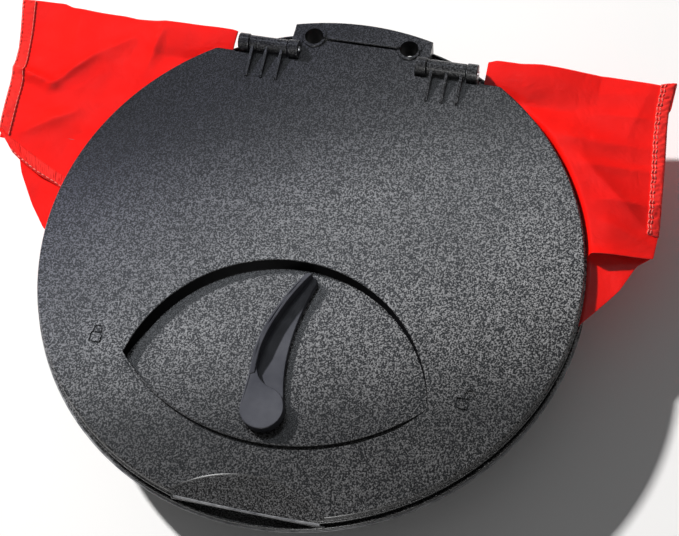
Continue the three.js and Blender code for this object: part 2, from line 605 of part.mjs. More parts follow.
function trigger() {
  const { x, y, bottom, top, boreR } = TRIGGER;
  const shape = new THREE.Shape(TRIGGER_SIDES.map(([dx, dy]) => new THREE.Vector2(x + dx, y + dy)));
  const { halfWidth, frontY, footY, rearY, thick } = FINGER;
  const finger = join(
    box(x - halfWidth, x + halfWidth, footY, rearY, bottom, CATCH.fingerTop),
    box(x - halfWidth, x + halfWidth, frontY, rearY, CATCH.fingerTop - thick, CATCH.fingerTop),
  );
  return cut(join(prism(shape, bottom, top), finger), disc(boreR, 0, FAR, x, y, 12));
}

function lidCatch() {
  const { x0, x1, toe, y0, y1, bottom } = CATCH;
  const post = box(x0, x1, y0, y1, bottom, LID_TOP - LID_SKIN - GAP);
  const hook = box(x0, toe, y0, y1, bottom, bottom + CATCH_TOE);
  const { x, y, headTop, sinkR } = CATCH_SCREW;
  return cut(join(post, hook), ...screwHoles([[x, y]], 0), disc(sinkR, 0, headTop + GAP, x, y, 16));
}

// ---- the folding spool arm ----

function stemBracket() {
  const top = SEAT - GAP;
  const { inner, outer, flange, y0, y1, earFoot, earTop, bottom } = BRACKET;
  const ears = SIDES.map((side) => {
    const [a, b] = spanOn(side, [inner, outer]);
    const [c, d] = spanOn(side, [inner, flange]);
    const ear = prismX([[earFoot[0], bottom], [earFoot[1], bottom], [earTop[1], top], [earTop[0], top]], a, b);
    return join(ear, box(c, d, y0, y1, top - BRACKET_FLANGE, top));
  });
  const { bracketHalf, bracketBottom } = CRANK_SLOT;
  return cut(
    join(...ears, box(-outer, outer, y0, BRIDGE.y1, BRIDGE.bottom, top)),
    crankSlot(bracketHalf, bracketBottom, FAR),
    stemPinBore(),
    ...screwHoles(BRACKET_SCREWS, 0),
  );
}

function stemPinBore() {
  return rodX(STEM_PIN.r + BORE, -FAR, FAR, STEM.y, STEM.z);
}

function stemPin(side) {
  const { r, headR, from, neck, shoulder, end } = STEM_PIN;
  const shank = rodX(r, ...spanOn(side, [from, shoulder]), STEM.y, STEM.z);
  return join(shank, rodX(headR, ...spanOn(side, [neck, end]), STEM.y, STEM.z));
}

function stemBlock() {
  const w = STEM.halfWidth;
  const { frontY, halfHeight, socketEnd } = STEM_BLOCK;
  const made = join(
    rodX(STEM.blockR, -w, w, STEM.y, STEM.z, 32),
    box(-w, w, frontY, STEM.y, STEM.z - halfHeight, STEM.z + halfHeight),
  );
  const sockets = SIDES.map((side) => {
    const [a, b] = spanOn(side, [STEM_PIN.socket, FAR]);
    return rodX(STEM_PIN.r + BORE, a, b, STEM.y, STEM.z);
  });
  const tubeSocket = rodY(STEM.tubeR + GAP, 0, socketEnd, 0, STEM.z);
  return cut(made, tubeSocket, rodY(TRIP.r + BORE, 0, FAR, 0, STEM.z), ...sockets);
}

function stemTube() {
  const { tubeR, boreR, tubeStart, tubeEnd, z } = STEM;
  return cut(rodY(tubeR, tubeStart, tubeEnd, 0, z), rodY(boreR, -FAR, FAR, 0, z));
}

function spoolBracket() {
  const { halfWidth, bottom, strapTop, rearY, over } = SPOOL_BRACKET;
  const block = box(-halfWidth, halfWidth, STEM.tubeStart + 0.5, rearY, bottom, STEM.z + over);
  const strap = join(
    box(-halfWidth, halfWidth, SPOOL.y, rearY, bottom, strapTop),
    disc(halfWidth, bottom, strapTop, 0, SPOOL.y, 24),
  );
  const tubeRoom = rodY(STEM.tubeR + GAP, -FAR, FAR, 0, STEM.z);
  return cut(join(block, strap), tubeRoom, disc(AXLE_R + BORE, 0, strapTop + SUNK, 0, SPOOL.y, 16));
}

function spool() {
  const { bottom, top, flange, r, hubR, edge, taper } = SPOOL;
  const bore = AXLE_R + BORE;
  const profile = [
    [bore, bottom],
    [r - edge, bottom],
    [r, bottom + edge],
    [r - taper, bottom + flange],
    [hubR, bottom + flange + 1],
    [hubR, top - flange - 1],
    [r - taper, top - flange],
    [r, top - edge],
    [r - edge, top],
    [bore, top],
    [bore, bottom],
  ];
  const body = turned(profile, 0, SPOOL.y, 30);
  const holes = Array.from({ length: SPOOL_HOLE.count }, (_, i) => {
    const [x, y] = polar(SPOOL_HOLE.at, (360 * i) / SPOOL_HOLE.count + SPOOL_HOLE.angle);
    return disc(SPOOL_HOLE.r, 0, FAR, x, SPOOL.y + y, 8);
  });
  const [x, y] = polar(SPOOL_NUB.at, SPOOL_NUB.angle);
  return join(cut(body, ...holes), disc(SPOOL_NUB.r, top - 1, SPOOL_NUB.top, x, SPOOL.y + y, 12));
}

function spoolAxle() {
  const head = disc(AXLE.headR, AXLE.bottom, AXLE.headTop, 0, SPOOL.y);
  return join(head, disc(AXLE_R, AXLE.headTop - 0.7, AXLE.top, 0, SPOOL.y, 16));
}

function spoolNut() {
  const { r, bottom, top, wing, wingHalf, wingBottom, wingTop } = NUT;
  const wings = box(-wing, wing, SPOOL.y - wingHalf, SPOOL.y + wingHalf, wingBottom, wingTop);
  return cut(join(disc(r, bottom, top, 0, SPOOL.y), wings), disc(AXLE_R + BORE, 0, FAR, 0, SPOOL.y, 16));
}

// Lower arm over the spool's flange, straight run inside the tube, and the crank that moves the trigger.
function tripShaft() {
  const rod = rodY(TRIP.r, TRIP.armY, TRIP.crankY, 0, STEM.z, 10);
  const arm = wire([[0, TRIP.armTip, TRIP.armZ], [0, TRIP.armY, TRIP.armZ], [0, TRIP.armY, STEM.z]], TRIP.crankR);
  const crank = wire([[0, TRIP.crankY, STEM.z], [TRIP.crankX, TRIP.crankY, STEM.z]], TRIP.crankR);
  return join(rod, arm, crank, ball(TRIP.r, 0, TRIP.armY, STEM.z), ball(TRIP.r, 0, TRIP.crankY, STEM.z));
}

// ---- assembly ----

const lid = lidMoulding();
addPiece("lid_cover", cut(lid, rearBlock(LIP.halfWidth, LIP.frontY, GAP)), BLACK_ABS);
addPiece("lid_rear_lip", lid.intersect(rearBlock(LIP.halfWidth, LIP.frontY)), BLACK_ABS);
addPiece("flag_cloth", flagCloth(), RED_NYLON);
addPiece("flag_stay_rod", stayRod(), SPRING_STEEL);
addPiece("flag_clamp_left", clampBar(-1), BLACK_ABS);
addPiece("flag_clamp_right", clampBar(1), BLACK_ABS);
CLAMP.screws.forEach((x, i) => {
  addPiece("clamp_screw_" + (i + 1), screw(x, CLAMP.screwY, CLAMP.bottom - 0.05, CLAMP_SCREW_TIP), STEEL);
});
addPiece("lid_catch", lidCatch(), STEEL);
const { headTop, headR, shankR, tip } = CATCH_SCREW;
addPiece("catch_screw", screw(CATCH_SCREW.x, CATCH_SCREW.y, headTop, tip, headR, shankR), STEEL);

addPiece("lock_lever", lockLever(), LEVER_ABS);
addPiece("latch_cam", latchCam(), STEEL);
const { innerR, outerR, bottom: washerBottom, top: washerTop } = WASHER;
addPiece("lever_washer", ringPiece(innerR, outerR, washerBottom, washerTop, PIVOT.x, PIVOT.y), STEEL);
addPiece("cam_screw", screw(PIVOT.x, PIVOT.y, CAM.bottom - GAP, 41.5, 3.2), STEEL);

const base = baseMoulding();
addPiece("base_plate", cut(base, rearBlock(LUG.halfWidth, LUG.frontY, GAP)), BLACK_ABS);
addPiece("base_rear_lug", base.intersect(rearBlock(LUG.halfWidth, LUG.frontY)), BLACK_ABS);
addPiece("insulation_foam", insulationFoam(), FOAM);
addPiece("latch_keeper", latchKeeper(), STEEL);
keeperScrewPlaces().forEach(([x, y], i) => {
  addPiece("keeper_screw_" + ["left", "right"][i], screw(x, y, KEEPER.top + 0.05, KEEPER_SCREW.tip, 2.6), STEEL);
});
[["left", -1], ["right", 1]].forEach(([name, side]) => {
  const [a, b] = spanOn(side, [INNER_KNUCKLE[0] - PIN_OVER, OUTER_KNUCKLE[1] + PIN_OVER]);
  addPiece("hinge_pin_" + name, rodX(PIN_R, a, b, HINGE_Y, HINGE_Z, 16), STEEL);
  addPiece("lid_spring_" + name, torsionSpring(side), SPRING_STEEL);
  const middle = SPRING.x * side;
  const { pin } = SPRING_LUG;
  addPiece("spring_pin_" + name, rodX(PIN_R, middle - pin, middle + pin, SPRING.y, SPRING.z, 16), STEEL);
});
BUMPER.angles.forEach((angle, i) => addPiece("rubber_bumper_" + (i + 1), bumper(angle), RUBBER));
addPiece("stem_bracket", stemBracket(), BLACK_ABS);
BRACKET_SCREWS.forEach(([x, y], i) => {
  addPiece("bracket_screw_" + (i + 1), screw(x, y, SEAT - 3, 33.8, 2.4), STEEL);
});
addPiece("stem_pin_left", stemPin(-1), STEEL);
addPiece("stem_pin_right", stemPin(1), STEEL);

addPiece("stem_block", stemBlock(), BLACK_ABS);
addPiece("stem_tube", stemTube(), ALUMINIUM);
addPiece("spool_bracket", spoolBracket(), BLACK_ABS);
addPiece("spool_axle", spoolAxle(), STEEL);
addPiece("spool_nut", spoolNut(), SPOOL_ABS);
addPiece("spool", spool(), SPOOL_ABS);
addPiece("trip_shaft", tripShaft(), SPRING_STEEL);
addPiece("trigger", trigger(), STEEL);
addPiece("trigger_screw", screw(TRIGGER.x, TRIGGER.y, TRIGGER.top + 0.1, SEAT - 1.5, 2.6), STEEL);

export default group;
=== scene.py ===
"""Looks of a pop-up ice fishing tip-up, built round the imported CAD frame.

Sizes are millimetres; MM turns them into Blender's metres where a mesh or an object is made.
"""

import json
import math

import bmesh
import bpy
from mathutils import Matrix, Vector, noise

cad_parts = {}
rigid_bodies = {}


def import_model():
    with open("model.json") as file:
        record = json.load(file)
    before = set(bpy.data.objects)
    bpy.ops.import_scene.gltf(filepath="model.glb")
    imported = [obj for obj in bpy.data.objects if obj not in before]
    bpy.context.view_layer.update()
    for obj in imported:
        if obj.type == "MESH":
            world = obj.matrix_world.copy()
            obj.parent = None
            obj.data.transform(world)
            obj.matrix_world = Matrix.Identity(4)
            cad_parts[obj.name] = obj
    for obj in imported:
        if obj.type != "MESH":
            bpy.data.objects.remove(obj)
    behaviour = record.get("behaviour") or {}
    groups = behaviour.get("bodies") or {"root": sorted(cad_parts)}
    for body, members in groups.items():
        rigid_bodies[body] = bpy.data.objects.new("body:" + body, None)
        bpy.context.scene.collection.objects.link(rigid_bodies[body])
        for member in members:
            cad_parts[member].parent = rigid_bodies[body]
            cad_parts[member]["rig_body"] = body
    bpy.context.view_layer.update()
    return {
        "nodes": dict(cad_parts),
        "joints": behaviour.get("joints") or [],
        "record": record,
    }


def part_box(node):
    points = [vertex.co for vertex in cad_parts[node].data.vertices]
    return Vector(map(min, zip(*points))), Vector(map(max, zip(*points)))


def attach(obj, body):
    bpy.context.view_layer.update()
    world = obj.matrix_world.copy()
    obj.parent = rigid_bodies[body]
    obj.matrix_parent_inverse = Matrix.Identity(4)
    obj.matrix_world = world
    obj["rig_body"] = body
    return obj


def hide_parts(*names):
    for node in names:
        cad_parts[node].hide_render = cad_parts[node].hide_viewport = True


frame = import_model()

MM = 0.001
JOINTS = {joint["name"]: Vector(joint["pos_m"]) / MM for joint in frame["joints"]}
MOUNTS = {mount["name"]: Vector(mount["pos_m"]) / MM for mount in frame["record"]["mounts"]}


def low(node):
    """Lowest corner of a CAD node, in millimetres."""
    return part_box(node)[0] / MM


def high(node):
    """Highest corner of a CAD node, in millimetres."""
    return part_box(node)[1] / MM


def middle(node):
    return (low(node) + high(node)) / 2


# ---- driving dimensions ----

SEAT = MOUNTS["ice_seat"].z
LID_TOP = SEAT + 14
LID_R = high("lid_cover").x
LID_SKIN = 2.2
LID_UNDER = LID_TOP - LID_SKIN
LID_EDGE = 5.8
CHORD_Y = 122
BASE_R = high("base_plate").x
BASE_TOP = SEAT + 2.2
BASE_RIM_TOP = SEAT + 4
SKIRT_R = 112
SKIRT_WALL = 3
HINGE_Y = JOINTS["lid_hinge"].y
HINGE_Z = JOINTS["lid_hinge"].z
BARREL_R = 4.3
KNUCKLE_R = 4.9
INNER_KNUCKLE = (34.8, 41.2)
LID_BARREL = (41.5, 64.2)
OUTER_KNUCKLE = (64.5, 71)
HINGE_RIBS = (44.5, 53.5, 62)
RIB_FRONT_Y = 105.5
PIN_BORE = 1.85
GAP = 0.3
SEAM_Y = 138.6
PORT_X, PORT_R, PORT_LIP, PORT_RISE = 28.5, 5.5, 1.7, 1
EYE_X, EYE_UPPER_Y, EYE_UPPER_R, EYE_LOWER_Y, EYE_LOWER_R = -0.8, -90, 83.3, 4.7, 114.8
EYE_FLOOR = LID_TOP - 6.5
SCOOP_X, SCOOP_Y, SCOOP_RING, SCOOP_RISE = 3, -192, 62.9, 262
SCOOP_FRONT_Y, SCOOP_HALF, SCOOP_STEP = -146.2, 40, 1.0
PIVOT = JOINTS["lock_turn"]
LEVER_SHELF, LEVER_TOP, LEVER_FIN = LID_TOP - 2.6, LID_TOP + 0.6, LID_TOP + 3
TRIGGER_XY = JOINTS["trigger_turn"].xy
CLAMP_SCREWS = tuple(f"clamp_screw_{i}" for i in (1, 2, 3, 4))
KEEPER_SCREWS = ("keeper_screw_left", "keeper_screw_right")
BRACKET_SCREWS = tuple(f"bracket_screw_{i}" for i in (1, 2, 3, 4))
SPRING_X = middle("spring_pin_right").x
SPRING_Y, SPRING_Z, SPRING_R, SPRING_WIRE, SPRING_TURNS, SPRING_PITCH = 108, 38.3, 2.9, 0.6, 4.5, 1.7
WIDE = 200  # reaches past every side of the object
ABOVE = 60  # reaches past its top
FLAT = 0.99995  # a face whose normal is this close to an axis is shaded flat
PIVOT_XY = PIVOT.xy
HINGE_YZ = (HINGE_Y, HINGE_Z)


def reach(value, start, run):
    """How far a value is along a run from a start: 0 before it, 1 past its end."""
    return min(max((value - start) / run, 0), 1)


def eased(t):
    return t * t * (3 - 2 * t)


# ---- mesh helpers ----


def put_in_scene(name, data):
    made = bpy.data.objects.new(name, data)
    bpy.context.scene.collection.objects.link(made)
    return made


def new_piece(name, points, faces):
    mesh = bpy.data.meshes.new(name)
    mesh.from_pydata([[c * MM for c in point] for point in points], [], faces)
    bm = bmesh.new()
    bm.from_mesh(mesh)
    bmesh.ops.recalc_face_normals(bm, faces=bm.faces)
    bm.to_mesh(mesh)
    bm.free()
    return put_in_scene(name, mesh)


def moved(piece, rule):
    """Moves every vertex of a piece by a rule from its x, y and z to new ones."""
    for vertex in piece.data.vertices:
        vertex.co = rule(*vertex.co)
    return piece


def loft(name, loops, ring=False):
    """A skin over loops of equal length. Its ends are capped, or joined to each other in a ring."""
    n = len(loops[0])
    points = [point for loop in loops for point in loop]
    faces = []
    for i in range(len(loops) if ring else len(loops) - 1):
        a, b = i * n, (i + 1) % len(loops) * n
        faces += [(a + j, a + (j + 1) % n, b + (j + 1) % n, b + j) for j in range(n)]
    if not ring:
        faces += [tuple(range(n)), tuple(range(len(points) - n, len(points)))]
    return new_piece(name, points, faces)


def lathe(name, profile, centre=(0, 0), axis="Z", sides=96, ring=False):
    """Turns (radius, height) points about an axis. Ends are flat caps, unless the profile is a ring."""
    turns = [(math.cos(2 * math.pi * k / sides), math.sin(2 * math.pi * k / sides)) for k in range(sides)]
    loops = [[(centre[0] + r * c, centre[1] + r * s, h) for c, s in turns] for r, h in profile]
    if axis == "X":
        loops = [[(h, a, b) for a, b, h in loop] for loop in loops]
    return loft(name, loops, ring)


def rod(name, r, start, end, centre, axis="Z", sides=48):
    """A plain cylinder, mostly as the tool for a hole."""
    return lathe(name, [(r, start), (r, end)], centre, axis, sides)


def rounded(points, radius, closed=False, steps=5):
    """Rounds the corners of a line of points with arcs, of one radius or of one for each corner."""
    corners = [Vector(point) for point in points]
    radii = radius if isinstance(radius, (list, tuple)) else [radius] * len(corners)
    made = []
    for i, corner in enumerate(corners):
        to_last, to_next = corners[i - 1] - corner, corners[(i + 1) % len(corners)] - corner
        at_end = not closed and i in (0, len(corners) - 1)
        if at_end or radii[i] <= 0 or to_last.angle(to_next) > math.radians(178):
            made.append(tuple(corner))
            continue
        half = to_last.angle(to_next) / 2
        run = min(radii[i] / math.tan(half), 0.49 * to_last.length, 0.49 * to_next.length)
        true_radius = run * math.tan(half)
        u, v = to_last.normalized(), to_next.normalized()
        centre = corner + (u + v).normalized() * (true_radius / math.sin(half))
        start, end = corner + u * run - centre, corner + v * run - centre
        sweep = start.angle(end)
        for k in range(steps + 1):
            t = k / steps
            arm = (start * math.sin((1 - t) * sweep) + end * math.sin(t * sweep)) / math.sin(sweep)
            made.append(tuple(centre + arm))
    return made


def bush(name, inner, outer, start, end, radius, centre=(0, 0), axis="Z", sides=96, steps=5):
    """A ring of rectangular section with rounded corners."""
    profile = rounded([(inner, start), (outer, start), (outer, end), (inner, end)], radius, steps=steps)
    return lathe(name, profile, centre, axis, sides)


def arc(x, y, r, start, end, steps=24):
    """Points on an arc, from one angle to another in degrees."""
    angles = [math.radians(start + (end - start) * k / steps) for k in range(steps + 1)]
    return [(x + r * math.cos(a), y + r * math.sin(a)) for a in angles]


def curve(start, control, end, steps=24):
    """Points on a quadratic curve, without its first one."""
    return [tuple((1 - t) ** 2 * a + 2 * t * (1 - t) * b + t * t * c for a, b, c in zip(start, control, end))
            for t in (k / steps for k in range(1, steps + 1))]


def grown(outline, margin):
    """An outline (anticlockwise) moved outwards by a margin, or inwards where it is negative."""
    made = []
    for i, (x, y) in enumerate(outline):
        before, after = Vector(outline[i - 1]), Vector(outline[(i + 1) % len(outline)])
        a, b = (Vector((x, y)) - before).normalized(), (after - Vector((x, y))).normalized()
        out = Vector((a.y + b.y, -a.x - b.x))
        out = out / max(out.length_squared / 2, 0.6)
        made.append((x + margin * out.x, y + margin * out.y))
    return made


def plate(name, outline, bottom, top, edge=0.4, steps=3):
    """A solid over an outline with rounded edges. Its top is a height or a function of (x, y)."""
    height = top if callable(top) else lambda x, y: top
    turns = [math.pi / 2 * k / steps for k in range(steps + 1)]
    steps_in = [(grown(outline, -edge * (1 - math.cos(a))), edge * (1 - math.sin(a))) for a in turns]
    loops = [[(x, y, bottom + rise) for x, y in inset] for inset, rise in reversed(steps_in)]
    loops += [[(x, y, height(x, y) - rise) for x, y in inset] for inset, rise in steps_in]
    return loft(name, loops)


def prism_x(name, outline, x0, x1, edge=0.3):
    """A plate standing along X, from an outline in (y, z)."""
    return moved(plate(name, outline, min(x0, x1), max(x0, x1), edge), lambda y, z, x: (x, y, z))


def box(name, x0, x1, y0, y1, z0, z1, edge=0.0):
    outline = [(x0, y0), (x1, y0), (x1, y1), (x0, y1)]
    if edge:
        return plate(name, rounded(outline, edge, closed=True, steps=3), z0, z1, edge)
    return walls(name, outline, z0, z1)


def rotated(piece, degrees):
    """Turns a piece's vertices about the cover's middle."""
    c, s = math.cos(math.radians(degrees)), math.sin(math.radians(degrees))
    return moved(piece, lambda x, y, z: (x * c - y * s, x * s + y * c, z))


def walls(name, outline, bottom, top):
    """A plain upright block over an outline."""
    return loft(name, [[(x, y, z) for x, y in outline] for z in (bottom, top)])


def tube(name, path, radius, sides=20, cap=0.35):
    """Round wire or rod along a path, with slightly rounded ends."""
    line = [Vector(point) for point in path]
    tangents = [(after - before).normalized()
                for before, after in zip([line[0]] + line[:-1], line[1:] + [line[-1]])]
    side = tangents[0].orthogonal().normalized()
    loops = []
    for i, (point, tangent) in enumerate(zip(line, tangents)):
        side = (side - tangent * side.dot(tangent)).normalized()
        across = tangent.cross(side)
        ring = [side * math.cos(2 * math.pi * k / sides) + across * math.sin(2 * math.pi * k / sides)
                for k in range(sides)]
        ends = {0: [(0, 1 - cap), (cap, 1)], len(line) - 1: [(-cap, 1), (0, 1 - cap)]}
        loops += [[point + tangent * radius * shift + arm * radius * share for arm in ring]
                  for shift, share in ends.get(i, [(0, 1)])]
    return loft(name, loops)


def apply_modifiers(piece):
    bpy.context.view_layer.update()
    made = bpy.data.meshes.new_from_object(piece.evaluated_get(bpy.context.evaluated_depsgraph_get()))
    piece.modifiers.clear()
    piece.data = made


def combine(piece, tools, operation):
    for tool in tools:
        modifier = piece.modifiers.new("combine", "BOOLEAN")
        modifier.operation = operation
        modifier.solver = "MANIFOLD"
        modifier.object = tool
    apply_modifiers(piece)
    for tool in tools:
        bpy.data.objects.remove(tool)
    return piece


def cut(piece, *tools):
    return combine(piece, tools, "DIFFERENCE")


def join(piece, *tools):
    return combine(piece, tools, "UNION")


def paint(piece, material):
    piece.data.materials.clear()
    piece.data.materials.append(material)


def show(piece, slot, *nodes, angle=34):
    """Gives a finished piece its material, smooth shading and body. It stands for the CAD nodes named."""
    for polygon in piece.data.polygons:
        polygon.use_smooth = max(abs(c) for c in polygon.normal) < FLAT
    piece.data.set_sharp_from_angle(angle=math.radians(angle))
    normals = piece.modifiers.new("normals", "WEIGHTED_NORMAL")
    normals.keep_sharp = True
    paint(piece, LOOKS[slot])
    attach(piece, frame["nodes"][nodes[0]]["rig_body"])
    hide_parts(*nodes)


# ---- looks ----


class Look:
    """A material of procedural nodes on one Principled shader."""

    def __init__(self, name, **constants):
        self.material = bpy.data.materials.new(name)
        self.material.use_nodes = True
        self.tree = self.material.node_tree
        self.shader = self.tree.nodes["Principled BSDF"]
        self.feed(self.shader, **constants)
        self.place = self.node("TexCoord").outputs["Object"]

    def node(self, kind, **settings):
        made = self.tree.nodes.new("ShaderNode" + kind)
        for key, value in settings.items():
            setattr(made, key, value)
        return made

    def plug(self, socket, value):
        """Links a socket to another node's output, or gives it a constant."""
        if isinstance(value, bpy.types.NodeSocket):
            self.tree.links.new(value, socket)
        else:
            socket.default_value = value

    def feed(self, node, **values):
        for name, value in values.items():
            self.plug(node.inputs[name.replace("_", " ")], value)
        return node

    def stretched(self, scale):
        """The object's coordinates, scaled along each axis."""
        return self.feed(self.node("Mapping"), Vector=self.place, Scale=scale).outputs["Vector"]

    def noise(self, per_metre, detail=2.0, roughness=0.5, place=None, distortion=0.0):
        node = self.node("TexNoise")
        return self.feed(node, Vector=place or self.place, Scale=per_metre, Detail=detail,
                         Roughness=roughness, Distortion=distortion).outputs["Fac"]

    def cells(self, per_metre):
        node = self.node("TexVoronoi", feature="F1")
        return self.feed(node, Vector=self.place, Scale=per_metre).outputs["Distance"]

    def bands(self, direction, per_metre, distortion=0.0):
        node = self.node("TexWave", wave_type="BANDS", bands_direction=direction)
        return self.feed(node, Vector=self.place, Scale=per_metre, Distortion=distortion).outputs["Fac"]

    def math(self, operation, a, b=0.5):
        node = self.node("Math", operation=operation)
        for socket, value in zip(node.inputs, (a, b)):
            self.plug(socket, value)
        return node.outputs[0]

    def slope(self, direction):
        """Rises from 0 to 1 across the object along a direction, whose length is the rise in a metre."""
        node = self.node("VectorMath", operation="DOT_PRODUCT")
        self.plug(node.inputs[0], self.place)
        self.plug(node.inputs[1], direction)
        return self.math("ADD", node.outputs["Value"], 0.5)

    def scaled(self, colour, factor):
        """A colour made lighter or darker."""
        node = self.feed(self.node("VectorMath", operation="SCALE"), Vector=colour, Scale=factor)
        return node.outputs[0]

    def ramp(self, factor, *stops):
        """A colour ramp over (position, value) stops. A value is a grey or a colour."""
        node = self.node("ValToRGB")
        ramp = node.color_ramp
        while len(ramp.elements) < len(stops):
            ramp.elements.new(0.5)
        for element, (position, value) in zip(ramp.elements, stops):
            element.position = position
            element.color = (*value, 1) if isinstance(value, tuple) else (value, value, value, 1)
        self.feed(node, Fac=factor)
        return node.outputs["Color"]

    def patches(self, per_metre, detail, low_value, high_value, roughness=0.5, edges=(0.3, 0.7)):
        """Noise between two greys or two colours."""
        grain = self.noise(per_metre, detail, roughness)
        return self.ramp(grain, (edges[0], low_value), (edges[1], high_value))

    def bump(self, height, metres, strength=1.0, under=None):
        node = self.feed(self.node("Bump"), Height=height, Strength=strength, Distance=metres)
        if under is not None:
            self.feed(node, Normal=under)
        return node.outputs["Normal"]

    def blend(self, factor, a, b):
        node = self.node("Mix", data_type="RGBA")
        for socket, value in ((node.inputs[0], factor), (node.inputs[6], a), (node.inputs[7], b)):
            self.plug(socket, (*value, 1) if isinstance(value, tuple) else value)
        return node.outputs[2]

    def finish(self, colour, roughness, normal):
        self.feed(self.shader, Base_Color=colour, Roughness=roughness, Normal=normal)
        return self.material


def grained_abs():
    """Charcoal ABS with a fine leather grain, with painted light in its colour: a painted sheen band lighter
    across the middle, painted shade towards front and rear, and a painted bluish reflection at the rear left.
    """
    look = Look("black_abs", Specular_IOR_Level=0.3, Coat_Weight=0.45, Coat_Roughness=0.26)
    pebbles, fine = look.noise(1230.8, 0.0), look.noise(1900.0, 1.0)
    height = look.math("ADD", look.math("MULTIPLY", pebbles, 0.8), look.math("MULTIPLY", fine, 0.2))
    grain = look.ramp(height, (0.42, 0.0), (0.66, 1.0))
    # across: painted light on the grain, from a flat, bluish painted reflection at the rear left to hard
    # painted highlights and shade between pits and crowns at the front right
    across = look.slope((3.3, -2.9, 0.0))
    band = look.slope((-1.35, 5.0, 0.0))
    pit = look.ramp(across, (0.0, (0.018, 0.019, 0.027)), (0.45, (0.010, 0.0102, 0.012)),
                    (1.0, (0.001, 0.0011, 0.0013)))
    crown = look.ramp(across, (0.0, (0.10, 0.103, 0.138)), (0.45, (0.255, 0.259, 0.272)),
                      (1.0, (0.29, 0.29, 0.295)))
    colour = look.blend(grain, pit, crown)
    # dull over band: painted sheen, the colour lightest in a band across the middle and painted darker as
    # shade towards the front and the rear
    dull = look.ramp(band, (0.0, 0.34), (0.15, 0.72), (0.28, 1.0), (0.68, 0.95), (0.9, 0.42), (1.0, 0.35))
    blotches = look.patches(16.0, 4.0, 0.85, 1.15, 0.6)
    colour = look.scaled(colour, look.math("MULTIPLY", dull, blotches))
    return look.finish(colour, look.patches(45.0, 3.0, 0.36, 0.46), look.bump(height, 0.0009, 1.0))


def moulded(name, specular, colour, roughness, surface):
    """A moulded plastic or rubber: patches of colour and of roughness, and a fine texture."""
    look = Look(name, Specular_IOR_Level=specular)
    per_metre, detail, metres, strength = surface
    return look.finish(look.patches(*colour), look.patches(*roughness),
                       look.bump(look.noise(per_metre, detail), metres, strength))


def red_nylon(name, dark, light, thread):
    """Thin, bright red nylon taffeta: a fine plain weave, crinkled in places, with a soft sheen."""
    look = Look(name, Specular_IOR_Level=0.3)
    warp, weft = [look.bands(way, 620.0, 0.6) for way in ("X", "Y")]
    weave = look.math("MAXIMUM", warp, weft)
    colour = look.patches(28.0, 4.0, dark, light, 0.55)
    colour = look.blend(look.math("MULTIPLY", weave, 0.16), colour, thread)
    roughness = look.patches(90.0, 3.0, 0.45, 0.62)
    crinkle = look.bump(look.noise(60.0, 3.0, 0.55, distortion=0.5), 0.0022, 0.4)
    return look.finish(colour, roughness, look.bump(weave, 0.00008, 0.55, crinkle))


def red_thread():
    """Polyester sewing thread, a shade lighter than the cloth, with its twist."""
    look = Look("red_thread", Sheen_Weight=0.4)
    twist = look.bands("DIAGONAL", 1500.0)
    colour = look.ramp(twist, (0.2, (0.9, 0.12, 0.09)), (0.8, (1.0, 0.28, 0.22)))
    return look.finish(colour, look.patches(900.0, 2.0, 0.55, 0.75), look.bump(twist, 0.0001, 0.7))


def closed_cell_foam():
    """Grey insulating foam: fine closed cells with a few larger open ones."""
    look = Look("foam", Specular_IOR_Level=0.25)
    cells = look.cells(420.0)
    pits = look.ramp(look.cells(150.0), (0.1, 0.0), (0.3, 1.0))
    height = look.math("ADD", cells, look.math("MULTIPLY", pits, 0.8))
    colour = look.patches(35.0, 4.0, (0.045, 0.048, 0.053), (0.085, 0.089, 0.096))
    colour = look.blend(look.math("MULTIPLY", cells, 0.5), colour, (0.13, 0.134, 0.14))
    return look.finish(colour, look.patches(220.0, 2.0, 0.82, 0.97), look.bump(height, 0.0006, 0.8))


def metal(name, dark, light, rough, scratch_axis=(1, 1, 1)):
    """Bare metal with fine scratches, a mottled surface and dull patches."""
    look = Look(name, Metallic=1.0)
    scratches = look.noise(900.0, 4.0, place=look.stretched(scratch_axis))
    spangle = look.cells(260.0)
    colour = look.patches(50.0, 4.0, dark, light)
    colour = look.blend(look.math("MULTIPLY", spangle, 0.25), colour, tuple(c * 0.7 for c in dark))
    roughness = look.ramp(look.math("ADD", scratches, look.math("MULTIPLY", spangle, 0.3)),
                          (0.35, rough - 0.08), (0.85, rough + 0.14))
    return look.finish(colour, roughness, look.bump(scratches, 0.00004, 0.6))


LOOKS = {
    "black_abs": grained_abs(),
    "lever_abs": moulded("lever_abs", 0.12, (60.0, 3.0, (0.055, 0.057, 0.070), (0.098, 0.101, 0.117)),
                         (180.0, 3.0, 0.30, 0.42), (2200.0, 2.0, 0.00008, 0.6)),
    "spool_abs": moulded("spool_abs", 0.5, (40.0, 3.0, (0.016, 0.017, 0.019), (0.03, 0.031, 0.034)),
                         (130.0, 3.0, 0.3, 0.46), (1500.0, 3.0, 0.00006, 0.5)),
    "red_nylon": red_nylon("red_nylon", (0.80, 0.002, 0.001), (0.92, 0.006, 0.003), (0.95, 0.02, 0.012)),
    "foam": closed_cell_foam(),
    "rubber": moulded("rubber", 0.35, (120.0, 3.0, (0.010, 0.010, 0.011), (0.022, 0.022, 0.023)),
                      (300.0, 2.0, 0.68, 0.88), (1300.0, 3.0, 0.0001, 0.6)),
    "steel": metal("steel", (0.46, 0.47, 0.49), (0.66, 0.67, 0.69), 0.34),
    "spring_steel": metal("spring_steel", (0.30, 0.31, 0.33), (0.50, 0.51, 0.53), 0.3, (1, 6, 6)),
    "aluminium": metal("aluminium", (0.62, 0.63, 0.65), (0.80, 0.81, 0.83), 0.32, (14, 1, 14)),
}
